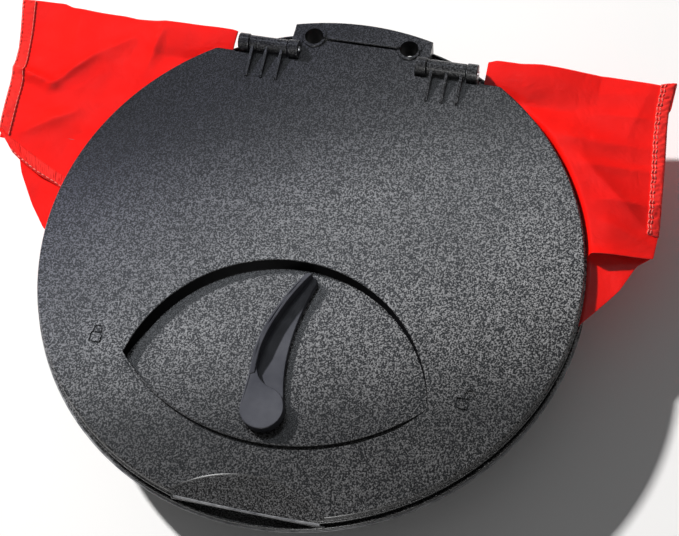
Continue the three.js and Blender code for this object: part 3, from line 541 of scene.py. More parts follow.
# the lid's plastic without grain, painted almost black as the shade inside the holes and on the recess wall
PAINTED_SHADE_ABS = moulded("painted_shade_abs", 0.04, (200.0, 3.0, (0.002, 0.002, 0.003), (0.005, 0.005, 0.006)),
                     (300.0, 2.0, 0.5, 0.65), (900.0, 2.0, 0.00004, 0.5))
# the same plastic on its outer edges, painted light there as a highlight
PAINTED_HIGHLIGHT_ABS = moulded("painted_highlight_abs", 0.4,
                     (120.0, 4.0, (0.09, 0.093, 0.105), (0.34, 0.345, 0.36), 0.6, (0.35, 0.65)),
                     (300.0, 2.0, 0.35, 0.5), (900.0, 2.0, 0.00006, 0.5))
RED_THREAD = red_thread()
RED_HEM = red_nylon("red_hem", (0.80, 0.006, 0.005), (0.93, 0.024, 0.019), (1.0, 0.10, 0.08))


# ---- lid ----


def eye_outline(margin, lean=0.0, swell=0.0):
    """The eye-shaped recess between two arcs, grown outwards by a margin.

    A lean moves the rear arc inwards, most on the left. A swell moves the front arc outwards, not its ends.
    """
    upper, lower = EYE_UPPER_R + margin, EYE_LOWER_R + margin
    apart = EYE_LOWER_Y - EYE_UPPER_Y
    rise = (upper ** 2 - lower ** 2 + apart ** 2) / (2 * apart)
    half = math.sqrt(upper ** 2 - rise ** 2)
    from_upper = math.degrees(math.atan2(rise, half))
    from_lower = math.degrees(math.atan2(apart - rise, half))
    over = arc(EYE_X, EYE_UPPER_Y, upper, from_upper, 180 - from_upper, 96)
    under = arc(EYE_X, EYE_LOWER_Y, lower, 180 + from_lower, 360 - from_lower, 96)
    for arc_line, centre_y, shift in (
            (over, EYE_UPPER_Y, lambda t: -lean * min(1, t / 0.6) ** 1.5 * min(1, (1 - t) / 0.08)),
            (under, EYE_LOWER_Y, lambda t: swell * min(1, 9 * t, 9 * (1 - t)))):
        for k, (x, y) in enumerate(arc_line):
            out = Vector((x - EYE_X, y - centre_y)).normalized() * shift(k / (len(arc_line) - 1))
            arc_line[k] = (x + out.x, y + out.y)
    return over[:-1] + under[:-1]


def eye_cutter():
    """The recess as a tool: filleted at the lid's surface and at its floor, with a little draft."""
    steps = [(1.3, 2, 0), (1.0, 0.42, 0), (0.25, 0, 0), (0, -0.5, 0), (-0.1, -6.2, 2.5), (-0.3, -6.5, 2.7)]
    return loft("eye", [[(x, y, LID_TOP + h) for x, y in eye_outline(margin, lean)]
                        for margin, h, lean in steps])


def eye_ring(name, inner, outer, bottom, top):
    """A narrow band that follows the edge of the recess."""
    ring = walls(name, eye_outline(inner, swell=outer - inner), bottom, top)
    corner_y = eye_outline(inner)[0][1]
    return cut(ring, walls("inside", eye_outline(inner), bottom - 1, top + 1),
               box("rear_part", -WIDE, WIDE, corner_y - 0.4, WIDE, 0, ABOVE))


def scoop_cutter(thicker=0.0):
    ball = math.hypot(SCOOP_RISE, SCOOP_RING) + thicker
    radii = [SCOOP_RING * k / 40 for k in range(1, 41)]
    bowl = [(r, LID_TOP + SCOOP_RISE - SCOOP_STEP - math.sqrt(ball ** 2 - r ** 2)) for r in radii]
    lip = [(SCOOP_RING + SCOOP_STEP + 0.1, LID_TOP + 0.1 - thicker)]
    return lathe("scoop", bowl + lip + [(SCOOP_RING + 1.5, LID_TOP + 6)], (SCOOP_X, SCOOP_Y), sides=256)


def scoop_floor(x):
    """Height of the scoop's surface along the lid's straight front edge, at a distance from its middle."""
    ball = math.hypot(SCOOP_RISE, SCOOP_RING)
    return LID_TOP + SCOOP_RISE - SCOOP_STEP - math.sqrt(ball ** 2 - x ** 2 - (SCOOP_FRONT_Y - SCOOP_Y) ** 2)


def lid_rear_edge():
    """What is cut from behind the lid: the chord, the hinge notches, and the room round the rear lip."""
    inner, outer = INNER_KNUCKLE[0] - GAP, OUTER_KNUCKLE[1] + 2
    (near, far), notch, behind = LID_BARREL, CHORD_Y - 0.7, HINGE_Y + 3.4
    half = [(inner, SEAM_Y - 2 * GAP), (inner, notch), (near, notch), (near, behind), (far, behind),
            (far, notch), (outer, notch), (outer, CHORD_Y), (WIDE, CHORD_Y), (WIDE, WIDE)]
    line = rounded([(-x, y) for x, y in reversed(half[:-1])] + half[:-1], 0.6, steps=3)
    return [(WIDE, WIDE), (-WIDE, WIDE)] + line


def lid_shell():
    bottom = LID_TOP - LID_EDGE
    profile = rounded(
        [(LID_R - 14, bottom), (LID_R, bottom), (LID_R, bottom + 1.5), (LID_R - 1, bottom + 1.9),
         (LID_R - 1.2, LID_TOP), (LID_R - 16, LID_TOP)],
        [0, 0.5, 0.5, 0.5, 1.3, 0], steps=6)
    shell = lathe("lid_shell", profile, sides=360)
    left, right = SCOOP_X - SCOOP_HALF, SCOOP_X + SCOOP_HALF
    cut(shell, walls("rear", lid_rear_edge(), 0, ABOVE),
        box("front", left, right, -WIDE, SCOOP_FRONT_Y, 0, ABOVE), lid_hollow(),
        box("rear_room", -OUTER_KNUCKLE[1] - 2, OUTER_KNUCKLE[1] + 2, CHORD_Y - 4, 150, 30, LID_UNDER),
        scoop_cutter())
    join(shell, walls("eye_pan", eye_outline(2), EYE_FLOOR - 2, LID_TOP - 1))
    cut(shell, eye_ring("eye_line", 1.0, 3.0, LID_TOP - 1.9, LID_TOP + 1))
    join(shell, eye_ring("eye_bead", -0.3, 1.0, LID_TOP - 1.7, LID_TOP + 0.4))
    cut(shell, eye_cutter(), rod("pivot_hole", 5.4, 30, 45, PIVOT_XY))
    scoop_edge = [(SCOOP_X + x, SCOOP_FRONT_Y + 0.3, scoop_floor(x) - 0.1) for x in range(-38, 39, 2)]
    join(shell, *[hinge_half(side) for side in (-1, 1)], *[port_lip(side, -1) for side in (-1, 1)],
         tube("scoop_edge", scoop_edge, 0.6),
         tube("front_bead", [(x, SCOOP_FRONT_Y + 0.5, bottom + 0.7) for x in (left, right)], 0.75))
    cut(shell, box("seam_step", -PORT_X, PORT_X, SEAM_Y - 1.5, SEAM_Y + 1, LID_TOP - 1.8, ABOVE),
        *[rod("port", PORT_R, 30, ABOVE, (PORT_X * side, SEAM_Y), sides=64) for side in (-1, 1)],
        rod("pin_bore", PIN_BORE, -80, 80, HINGE_YZ, "X"),
        *padlock_icon(-99.7, -68.1, shackle_shift=0), *padlock_icon(98.2, -68.7, shackle_shift=3.2))
    show(shell, "black_abs", "lid_cover", "lid_rear_lip")
    finish_faces(shell)


def lid_hollow():
    """The room under the lid's skin, less its ribs, screw bosses and the walls of recess and scoop."""
    wall = LID_R - LID_SKIN - 1
    hollow = lathe("hollow", [(LID_R - 14, 30), (wall, 30), (wall, LID_UNDER - 1), (wall - 1, LID_UNDER),
                              (LID_R - 16, LID_UNDER)], sides=180)
    rib_foot = LID_UNDER - 2.3
    rib_ring = lathe("rib_ring", [(134, rib_foot), (135.6, rib_foot), (135.6, ABOVE), (134, ABOVE)],
                     sides=120, ring=True)
    spokes = [rotated(box("spoke", 104, 134.6, -0.8, 0.8, rib_foot, ABOVE), angle)
              for angle in (-160, -135, -45, -20, 20, 160)]
    bosses = [lathe("boss", [(4.0, 40.1), (4.4, ABOVE)], middle(n).xy, sides=40) for n in CLAMP_SCREWS]
    front_wall = box("front_wall", SCOOP_X - SCOOP_HALF - 2, SCOOP_X + SCOOP_HALF + 2,
                     -WIDE, SCOOP_FRONT_Y + 2, 0, ABOVE)
    return cut(hollow, box("chord", -WIDE, WIDE, CHORD_Y - LID_SKIN, WIDE, 0, ABOVE), front_wall,
               walls("eye_pan", eye_outline(2), EYE_FLOOR - 2, ABOVE), scoop_cutter(LID_SKIN), rib_ring,
               *spokes, *bosses)


def finish_faces(piece):
    """Makes the line ports' bores and the recess wall smooth and paints them near-black as shade, and paints
    a highlight on the front's outer edges.
    """
    piece.data.materials.append(PAINTED_SHADE_ABS)
    piece.data.materials.append(PAINTED_HIGHLIGHT_ABS)
    for polygon in piece.data.polygons:
        x, y, z = polygon.center / MM
        in_port = math.hypot(abs(x) - PORT_X, y - SEAM_Y) < PORT_R + 0.05 and z < LID_TOP + PORT_RISE - 0.2
        in_eye = max(math.hypot(x - EYE_X, y - EYE_UPPER_Y) - EYE_UPPER_R,
                     math.hypot(x - EYE_X, y - EYE_LOWER_Y) - EYE_LOWER_R) < 0.6
        # painted shade: the bores and the recess wall get the near-black plastic
        if in_port or in_eye and EYE_FLOOR + 0.1 < z < LID_TOP - 0.3 and polygon.normal.z < 0.8:
            polygon.material_index = 1
        radius = math.hypot(x, y)
        on_rim = radius > BASE_R - 0.8 or LID_R - 0.8 < radius < LID_R + 0.1 and z > LID_TOP - 2
        on_scoop = (abs(y - SCOOP_FRONT_Y - 0.3) < 0.7 and abs(x - SCOOP_X) < 38
                    and z > scoop_floor(x - SCOOP_X) - 0.2)
        # painted highlight: front-facing rounded edges of the rims and the scoop's front edge get the light
        # plastic
        if y < -20 and (on_rim or on_scoop) and 0.25 < polygon.normal.z < 0.97:
            polygon.material_index = 2


def hinge_half(side):
    """One of the lid's hinge barrels with its three gussets."""
    near, far = sorted(d * side for d in LID_BARREL)
    barrel = bush("barrel", 2.5, BARREL_R, near, far, 0.4, HINGE_YZ, "X", 72)
    top = HINGE_Z + 2.4
    side_view = [(RIB_FRONT_Y, LID_TOP - 1), (HINGE_Y, LID_TOP - 1), (HINGE_Y, top + 1), (HINGE_Y - 3, top),
                 (RIB_FRONT_Y + 1.5, LID_TOP + 1.3), (RIB_FRONT_Y, LID_TOP + 0.7)]
    ribs = [prism_x("rib", side_view, d * side - 0.95, d * side + 0.95) for d in HINGE_RIBS]
    return join(barrel, *ribs)


def port_lip(side, behind):
    """Half of the raised lip round a line port: the lid's half has behind = -1, the base's half 1."""
    lip = bush("lip", PORT_R - 1, PORT_R + PORT_LIP, LID_UNDER, LID_TOP + PORT_RISE, 0.5,
               (PORT_X * side, SEAM_Y), sides=64)
    limits = (SEAM_Y - GAP, WIDE) if behind < 0 else (0, SEAM_Y + GAP)
    tools = [box("other_half", -WIDE, WIDE, *limits, 0, ABOVE)]
    if behind < 0:
        edge = (INNER_KNUCKLE[0] - GAP) * side
        tools.append(box("arm_room", *sorted((edge, side * WIDE)), 0, WIDE, 0, ABOVE))
    return cut(lip, *tools)


def padlock_icon(x, y, shackle_shift):
    """Grooves that draw a small padlock, closed or with its shackle moved aside."""
    deep, shallow = LID_TOP - 0.9, LID_TOP + 1
    body = rounded([(x - 3, y - 5), (x + 3, y - 5), (x + 3, y + 0.6), (x - 3, y + 0.6)], 0.8, closed=True)
    frame_line = walls("padlock", grown(body, 0.5), deep, shallow)
    cut(frame_line, walls("core", grown(body, -0.5), deep - 1, shallow + 1))
    lift, gap = (0.8, 1.2) if shackle_shift else (0, 0)
    bow = arc(x + shackle_shift, y + 2.4 + lift, 2.2, 0, 180, 16)
    leg = y + 0.9
    path = [(bow[0][0], leg + gap)] + bow + [(bow[-1][0], leg)]
    return [frame_line, tube("shackle", [(a, b, LID_TOP) for a, b in path], 0.6, 8)]


# ---- lever ----


# outlines about the lever's pivot, with the lever straight back
HUB_ARC = arc(0, 0, 11.5, 180, 385, 48)
OUTER_EDGE = curve((4.6, 77.6), (-10.4, 50), (-11.4, 30), 32)
INNER_EDGE = curve((-8.3, 30), (-6.9, 50.5), (8.6, 78.6), 32)
LEVER_OUTLINE = (HUB_ARC + curve((10.42, 4.86), (0.2, 35.5), (11.8, 75.5), 32)
                 + curve((11.8, 75.5), (11.2, 79), (7.8, 79.2), 8)
                 + curve((7.8, 79.2), (5.6, 79.2), (4.6, 77.6), 6)
                 + OUTER_EDGE + [(-11.45, 20), (-11.48, 10)])
HUB_OUTLINE = (HUB_ARC + curve((10.42, 4.86), (9, 9.6), (2.6, 11.6), 12)
               + curve((2.6, 11.6), (-7, 13.6), (-8.3, 24), 16)
               + [(-8.3, 30), (-8.6, 33), (-11.3, 33), (-11.4, 28), (-11.45, 20), (-11.48, 10)])
FIN_OUTLINE = ([(-11.46, 17), (-8.3, 18), (-8.3, 24), (-8.3, 30)] + INNER_EDGE
               + curve((8.6, 78.6), (6.4, 79.6), (4.6, 77.6), 6) + OUTER_EDGE + [(-11.45, 24)])


def fin_height(x, y):
    """The fin climbs out of the hub, runs level and rolls off at the tip."""
    climb, roll = reach(y - PIVOT.y, 17, 17), reach(y - PIVOT.y, 66, 13)
    return LEVER_TOP - 0.4 + (LEVER_FIN - LEVER_TOP + 0.4) * eased(climb) - 1.3 * roll * roll


def shelf_height(x, y):
    """The shelf dips beside the hub and rises slightly to its outer edge."""
    along_it = reach(y, PIVOT.y, 80)
    return LEVER_SHELF - 0.5 * math.sin(math.pi * along_it) + 0.4 * along_it


def hub_height(x, y):
    return LEVER_TOP + 0.25 - 0.002 * ((x - PIVOT.x) ** 2 + (y - PIVOT.y) ** 2)


def at_pivot(outline):
    return [(x + PIVOT.x, y + PIVOT.y) for x, y in outline]


def lever():
    bottom = EYE_FLOOR + 0.6
    blade = plate("lock_lever_moulding", at_pivot(LEVER_OUTLINE), bottom, shelf_height, 0.7)
    join(blade, plate("hub", at_pivot(HUB_OUTLINE), bottom + 0.1, hub_height, 0.7, 4),
         plate("fin", at_pivot(FIN_OUTLINE), bottom + 0.2, fin_height, 0.6, 4),
         rod("stub", 4.5, 34.1, EYE_FLOOR + 3, PIVOT_XY))
    sides = zip(INNER_EDGE, curve((-11.4, 30), (-10.4, 50), (4.6, 77.6), 32))
    ridge = at_pivot([((a + c) / 2, (b + d) / 2) for (a, b), (c, d) in sides])[2:-3]
    cut(blade, tube("fin_groove", [(x, y, fin_height(x, y) + 0.1) for x, y in ridge], 0.5, 10))
    cut(blade, rod("screw_hole", 1.8, 30, 42, PIVOT_XY, sides=24))
    show(blade, "lever_abs", "lock_lever")


# ---- base ----


def base_shell():
    foot = 0.8
    outside = rounded(
        [(4, SEAT), (SKIRT_R - SKIRT_WALL, SEAT), (SKIRT_R - SKIRT_WALL, 0), (SKIRT_R, 0), (SKIRT_R, SEAT),
         (BASE_R, SEAT), (BASE_R, SEAT + 1.4), (BASE_R - 0.9, SEAT + 1.7), (BASE_R - 0.9, BASE_RIM_TOP),
         (BASE_R - 2.2, BASE_RIM_TOP), (BASE_R - 2.2, BASE_TOP), (4, BASE_TOP)],
        [0, 1, foot, foot, 1.2, 0.5, 0.4, 0.3, 0.5, 0.4, 0.6, 0], steps=4)
    shell = lathe("base_shell", outside, sides=360)
    well = bush("well", 4, 19.4, 27, SEAT + 1, [0, 1.2, 0, 0], PIVOT_XY)
    bosses = [lathe("boss", [(3.2, 27.5), (3.6, SEAT + 1)], middle(n).xy, sides=40) for n in KEEPER_SCREWS]
    bosses.append(lathe("boss", [(3.0, SEAT - 3), (3.4, SEAT + 1)], TRIGGER_XY, sides=40))
    join(shell, well, *bosses, tongue(), *[gusset(angle) for angle in range(15, 360, 30)],
         *[knuckle(side, span) for side in (-1, 1) for span in (INNER_KNUCKLE, OUTER_KNUCKLE)],
         *[spring_lug(side * SPRING_X + offset) for side in (-1, 1) for offset in (-8, 8)],
         *[port_lip(side, 1) for side in (-1, 1)])
    cut(shell,
        bush("well_room", 4, 17.4, 28.8, ABOVE, [0, 1, 0, 0], PIVOT_XY),
        box("crank_slot", -3, high("trip_shaft").x + 1.8, JOINTS["arm_fold"].y - 3.5, 88,
            20, BASE_TOP + 1, 1.2),
        *[rod("port", PORT_R, 20, ABOVE, (PORT_X * side, SEAM_Y), sides=64) for side in (-1, 1)],
        *[rod("hole", 1.7, 28.4, ABOVE, middle(n).xy, sides=24)
          for n in KEEPER_SCREWS + BRACKET_SCREWS + ("trigger_screw",)],
        rod("pin_bore", PIN_BORE, -80, 80, HINGE_YZ, "X"),
        *[rod("pin_bore", PIN_BORE, side * SPRING_X - 10, side * SPRING_X + 10, (SPRING_Y, SPRING_Z), "X", 32)
          for side in (-1, 1)])
    show(shell, "black_abs", "base_plate", "base_rear_lug")
    finish_faces(shell)


def gusset(angle):
    """A low gusset between the skirt ring and the flange."""
    side_view = [(SKIRT_R - 1, SEAT - 13), (SKIRT_R + 0.6, SEAT - 13), (SKIRT_R + 13, SEAT - 1),
                 (SKIRT_R + 13, SEAT + 1), (SKIRT_R - 1, SEAT + 1)]
    flat = plate("gusset", side_view, -0.9, 0.9, 0.3)
    return rotated(moved(flat, lambda r, z, across: (r, across, z)), angle)


def tongue():
    half_x, start = INNER_KNUCKLE[1], SEAM_Y + GAP
    corner = math.degrees(math.acos(half_x / BASE_R))
    rim = arc(0, 0, BASE_R, corner, 180 - corner, 40)
    outline = [(-half_x, start), (half_x, start)] + rim
    block = plate("tongue", outline, SEAT + 1, LID_TOP, 0.7)
    arms = [plate("arm", [(a, HINGE_Y), (b, HINGE_Y), (b, SEAM_Y + 2), (a, SEAM_Y + 2)],
                  SEAT + 1, LID_TOP, 0.4)
            for a, b in (sorted((INNER_KNUCKLE[0] * side, half_x * side)) for side in (-1, 1))]
    return join(block, *arms)


def knuckle(side, span):
    near, far = sorted(d * side for d in span)
    collar = bush("collar", 2.6, KNUCKLE_R, near, far, 0.7, HINGE_YZ, "X", 72)
    front, rear = HINGE_Y - 4.4, HINGE_Y + 4.4
    post = [(front, SEAT + 1), (rear, SEAT + 1), (rear, HINGE_Z), (front, HINGE_Z)]
    return join(collar, prism_x("post", post, near + 0.1, far - 0.1, 0.4))


def spring_lug(x):
    corners = [(-3, SEAT + 1), (3, SEAT + 1), (2.4, 41), (-2.4, 41)]
    outline = rounded([(SPRING_Y + dy, z) for dy, z in corners], [0, 0, 2.2, 2.2], closed=True)
    return prism_x("lug", outline, x - 1, x + 1, 0.25)


def foam_insert():
    """The insulation inside the skirt, cut away for the spool, its arm and the lock's well."""
    spool, arm = JOINTS["spool_spin"], JOINTS["arm_fold"]
    top, bottom, r = high("insulation_foam").z, low("insulation_foam").z, high("insulation_foam").x
    block = bush("foam_insert", 4, r, bottom, top, [0, 2, 0.8, 0], sides=240)
    bay = [(39.3, -2), (38.1, bottom + 0.4), (37.5, bottom + 2), (37.5, ABOVE)]
    cut(block,
        lathe("spool_bay", bay, spool.xy, sides=128),
        box("arm_bay", -11, 11, spool.y, arm.y - 6, -5, ABOVE, 1.5),
        box("bracket_bay", -25, 25, 50, 92, -5, ABOVE, 3),
        rod("well_bay", 30, 24, ABOVE, PIVOT_XY, sides=96),
        rod("boss_bay", 5, SEAT - 4, ABOVE, TRIGGER_XY, sides=40))
    show(block, "foam", "insulation_foam")


# ---- flag ----

CLOTH_TOP, CLOTH_UNDER, CLOTH_THICK = 39.3, 37.9, 0.25
LID_EDGE_RUN = (150, 14)  # the cloth leaves the lid at the first radius and lies free this much further out
WING_START = 75  # half width of the notch that the flag has behind the lid's front half
NOTCH_Y = low("flag_cloth").y + 94  # rear edge of the cloth between the hinges
REAR_LINE = [(-216, 141), (-176, 143), (-171, 141), (-121, 137.5), (-78, 137), (-75, 136.5),
             (75, 138), (80, 139.8), (94, 140), (106, 142), (145, 143), (176, 142), (182, 145)]
TOP_FRONT = [(-200, 48), (-190, 39), (-185, 35.5), (-173, 28), (-157, 21), (-140, 14), (0, 18), (140, 22),
             (149, 25), (184, 31)]
UNDER_FRONT = [(-190, 44), (-185, 37), (-179, 24), (-166, 5), (-154, -9), (-120, -24), (0, -16), (120, -28),
               (151, -15), (158, -6), (170, 10), (177, 26), (184, 32)]
LEFT_END = [(49, -199), (70, -202), (107, -207), (141, -216)]
RIGHT_END = [(31, 182.5), (50, 184), (90, 182), (120, 180), (125, 180), (126, 181), (145, 182.5)]
LEFT_HEM = ([(-215.8, 141), (-207, 107), (-202, 70), (-199.3, 50)],
            [(-206.5, 141.6), (-201, 116), (-195.5, 84), (-191, 45)])
RIGHT_HEM = ([(182, 144.5), (180, 125), (180.5, 107), (182, 90), (184, 45)],
             [(173.4, 142.5), (172.6, 125), (173.2, 105), (175.2, 80), (177.2, 45)])
FRONT_HEM = ([(-198, 48), (-188, 43.5), (-173, 35.5), (-157, 28), (-146, 23)],
             [(-186, 35), (-180, 31), (-167, 24), (-154, 19), (-146, 15)])
STITCH = 3.1  # from one stitch to the next
CREASES = [  # start, end, height, half width of the folds in the cloth
    ((-206, 92), (-176, 84), 4.0, 3.5), ((-178, 83), (-158, 108), 2.4, 3), ((-158, 108), (-136, 126), 1.2, 4),
    ((-192, 70), (-150, 56), 1.1, 7), ((-121, 137), (-124, 108), 1.5, 3.5),
    ((-150, 140), (-122, 118), 0.9, 4), ((-176, 141), (-170, 100), 1.2, 8),
    ((178, 118), (132, 116), 1.3, 3.5), ((178, 98), (118, 96), 1.5, 4),
    ((178, 84), (132, 80), 1.8, 3.5), ((176, 48), (136, 84), 2.6, 5), ((180, 62), (148, 60), 1.7, 3.5),
    ((182, 38), (148, 48), 1.9, 4), ((174, 134), (120, 128), 1.0, 6), ((-184, 50), (-158, 68), 1.8, 4),
    ((170, 142), (158, 104), 0.7, 5),
]


def along(line, at):
    """The second value of a line of pairs at a first value."""
    for (a, low_value), (b, high_value) in zip(line, line[1:]):
        if at <= b:
            return low_value + (high_value - low_value) * reach(at, a, b - a)
    return line[-1][1]


def crease_height(x, y):
    """How far the soft folds lift the cloth at a point."""
    lift = 0.0
    for (x0, y0), (x1, y1), height, half in CREASES:
        dx, dy = x1 - x0, y1 - y0
        t = reach((x - x0) * dx + (y - y0) * dy, 0, dx * dx + dy * dy)
        away = math.hypot(x - x0 - t * dx, y - y0 - t * dy) / half
        if away < 3:
            lift += height * math.exp(-away ** 1.3) * math.sin(math.pi * (0.15 + 0.7 * t))
    return lift


def ripple(x, y, seed):
    return noise.noise(Vector((x, y, seed)))


def cloth_height(x, y, level):
    """A layer's height over a level: waves and creases on the wings, almost flat under the lid."""
    radius = math.hypot(x, y)
    wave = ripple(x * 0.018, y * 0.022, 3.1) * 1.8 + ripple(x * 0.045, y * 0.03, 7.7) * 0.7
    lift = wave + crease_height(x, y) * (1.1 if x < 0 else 0.85)
    z = level + eased(reach(radius, *LID_EDGE_RUN)) * lift + 0.25 * ripple(x * 0.04, y * 0.05, 1.0)
    if x > 0 and y < 118:  # the right wing bulges over the base's rim
        foot = reach(radius, LID_R + 0.1, 1.3)
        bulge = 5.4 if level == CLOTH_TOP else 1.2
        z += bulge * foot * (1 - eased(reach(radius, 152, 44))) * min((118 - y) / 20, 1)
        if level == CLOTH_TOP:
            front = 1 - reach(y, along(TOP_FRONT, x), 9)
            z += 2.6 * foot * front * front * reach(184 - x, 0, 30)
    rear = reach(y, 116, 18) * reach(140 - abs(x), 0, 40)
    return z + 5.0 * rear * (2 - rear)


def on_line(line, share):
    """The point of a polyline at a share of its length."""
    points = [Vector(point) for point in line]
    left = share * sum((b - a).length for a, b in zip(points, points[1:]))
    for a, b in zip(points, points[1:]):
        if left <= (b - a).length:
            return a.lerp(b, left / (b - a).length)
        left -= (b - a).length
    return points[-1]


def sewn_on(piece, material):
    """A smooth detail of the flag, which rides the lid as the cloth does."""
    for polygon in piece.data.polygons:
        polygon.use_smooth = True
    paint(piece, material)
    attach(piece, "lid")
    return piece


def hem(name, outer, inner, thick=0.7):
    """A turned-over and stitched edge: a puckered band between two lines of points on the cloth."""
    lines, loops = 120, []
    for k in range(lines + 1):
        a, b = on_line(outer, k / lines), on_line(inner, k / lines)
        crown = []
        for t in (j / 8 for j in range(9)):
            spot = a.lerp(b, t)
            edge = min(t, 1 - t) * 2
            pucker = ripple(spot.x * 0.15 + k * 0.55, t * 2.2, 5.0)
            rise = thick * min(1, edge * 4) * (0.55 + 0.45 * edge) + 0.8 * pucker * min(1, edge * 3)
            crown.append((spot.x, spot.y, cloth_height(spot.x, spot.y, CLOTH_TOP) + 0.18 + max(rise, 0.05)))
        base = [(p[0], p[1], cloth_height(p[0], p[1], CLOTH_TOP) - 0.02) for p in (crown[-1], crown[0])]
        loops.append(crown + base)
    return sewn_on(loft(name, loops), RED_HEM)


WING_COLUMNS, MIDDLE_COLUMNS, FRONT_ROWS, REAR_ROWS = 84, 62, 34, 30
LAST_ROW = FRONT_ROWS + REAR_ROWS


def flag_column(part, s):
    """The upper and the lower layer's points along one line of the cloth, from front to rear.

    The part is -1 on the left wing, 0 in the middle and 1 on the right wing; s runs across it from 0 to 1.
    """
    start, end = {-1: (-200, -WING_START), 0: (-WING_START, WING_START), 1: (WING_START, 184)}[part]
    base = start + (end - start) * s
    column = []
    for upper in (True, False):
        front, rear = along(TOP_FRONT if upper else UNDER_FRONT, base), along(REAR_LINE, base)
        ys = [front + (NOTCH_Y - front) * k / FRONT_ROWS for k in range(FRONT_ROWS)]
        ys += [NOTCH_Y + (rear - NOTCH_Y) * k / REAR_ROWS for k in range(REAR_ROWS + 1)]
        points = []
        for y in ys:
            inset = 0 if upper else 1.2
            x = base
            if part < 0:
                left = along(LEFT_END, y) + inset
                x = left + (-WING_START - left) * s
            elif part > 0:
                x = WING_START + (along(RIGHT_END, y) - inset - WING_START) * s
            z = cloth_height(x, y, CLOTH_TOP if upper else CLOTH_UNDER)
            if not upper:
                outside = reach(math.hypot(x, y), *LID_EDGE_RUN)
                tail = reach(46 - y, 0, 30) * ripple(x * 0.07, y * 0.05, 9.0)
                z += outside * tail * 1.2 + 0.6 * (1 - outside)
            points.append((x, y, z))
        column.append(points)
    return column


def flag_mesh():
    """The cloth as one surface, folded along the wings' rear edge. Its middle stops at the hinges' notch."""
    across = ([(-1, s / WING_COLUMNS) for s in range(WING_COLUMNS + 1)]
              + [(0, s / MIDDLE_COLUMNS) for s in range(1, MIDDLE_COLUMNS)]
              + [(1, s / WING_COLUMNS) for s in range(WING_COLUMNS + 1)])
    grid = [flag_column(*place) for place in across]
    points, index = [], {}

    def corner(i, layer, j):
        if (i, layer, j) not in index:
            index[i, layer, j] = len(points)
            points.append(grid[i][layer][j])
        return index[i, layer, j]

    def turn(i):
        """The point behind the rear edge where the cloth turns from the upper layer to the lower one."""
        if (i, "turn") not in index:
            index[i, "turn"] = len(points)
            top, under = Vector(grid[i][0][LAST_ROW]), Vector(grid[i][1][LAST_ROW])
            points.append(tuple((top + under) / 2 + Vector((0, (top.z - under.z) * 0.5, 0))))
        return index[i, "turn"]

    faces = []
    for i in range(len(across) - 1):
        in_middle = across[i][0] == 0 or across[i + 1][0] == 0
        for layer in (0, 1):
            for j in range(FRONT_ROWS if in_middle else LAST_ROW):
                quad = [corner(i, layer, j), corner(i + 1, layer, j), corner(i + 1, layer, j + 1),
                        corner(i, layer, j + 1)]
                faces.append(quad[::-1] if layer else quad)
        if not in_middle:
            near, far = turn(i), turn(i + 1)
            faces.append([corner(i, 0, LAST_ROW), corner(i + 1, 0, LAST_ROW), far, near])
            faces.append([near, far, corner(i + 1, 1, LAST_ROW), corner(i, 1, LAST_ROW)])
    mesh = bpy.data.meshes.new("flag_sheet")
    mesh.from_pydata([[c * MM for c in point] for point in points], [], faces)
    return mesh


def flag_sheet():
    """The flag: one cloth folded along its rear edge, its upper layer hemmed and its lower with a fold."""
    mesh = flag_mesh()
    sheet = put_in_scene("flag_sheet", mesh)
    solid = sheet.modifiers.new("cloth", "SOLIDIFY")
    solid.thickness, solid.offset = CLOTH_THICK * MM, 0
    apply_modifiers(sheet)
    smooth = sheet.modifiers.new("soft", "SUBSURF")
    smooth.levels = smooth.render_levels = 1
    apply_modifiers(sheet)
    show(sheet, "red_nylon", "flag_cloth", angle=180)
    pieces = [flag_stitches(), hem("left_hem", *LEFT_HEM), hem("right_hem", *RIGHT_HEM),
              hem("front_hem", *FRONT_HEM, thick=0.5)]


def stitch(start, end):
    """One stitch: a short bent thread whose ends go down into the cloth."""
    a, b, lift = Vector(start), Vector(end), Vector((0, 0, 0.32))
    top = [(a * 2 + b) / 3 + lift, (a + b * 2) / 3 + lift]
    return [a - lift, a + lift * 0.6, *top, b + lift * 0.6, b - lift]


def flag_stitches():
    """Rows of stitches in the hems: straight rows on the left and in front, a zigzag on the right."""
    bm = bmesh.new()
    for (outer, inner), share, zigzag in (
            (LEFT_HEM, 0.93, 0), (LEFT_HEM, 0.12, 0), (RIGHT_HEM, 0.92, 0.25), (RIGHT_HEM, 0.7, 0.25),
            (FRONT_HEM, 0.88, 0)):
        line = [on_line(outer, k / 40).lerp(on_line(inner, k / 40), share) for k in range(41)]
        count = int(sum((b - a).length for a, b in zip(line, line[1:])) / STITCH)
        for k in range(count):
            a, b = on_line(line, (k + 0.15) / count), on_line(line, (k + 0.75) / count)
            way = (b - a).normalized()
            side = Vector((-way.y, way.x)) * zigzag * (1 if k % 2 else -1)
            ends = (a - side, b + side)
            path = stitch(*[(p.x, p.y, cloth_height(p.x, p.y, CLOTH_TOP) + 0.7) for p in ends])
            part = tube("stitch", path, 0.24, 8)
            bm.from_mesh(part.data)
            bpy.data.objects.remove(part)
    mesh = bpy.data.meshes.new("flag_stitches")
    bm.to_mesh(mesh)
    bm.free()
    return sewn_on(put_in_scene("flag_stitches", mesh), RED_THREAD)


# ---- small parts ----


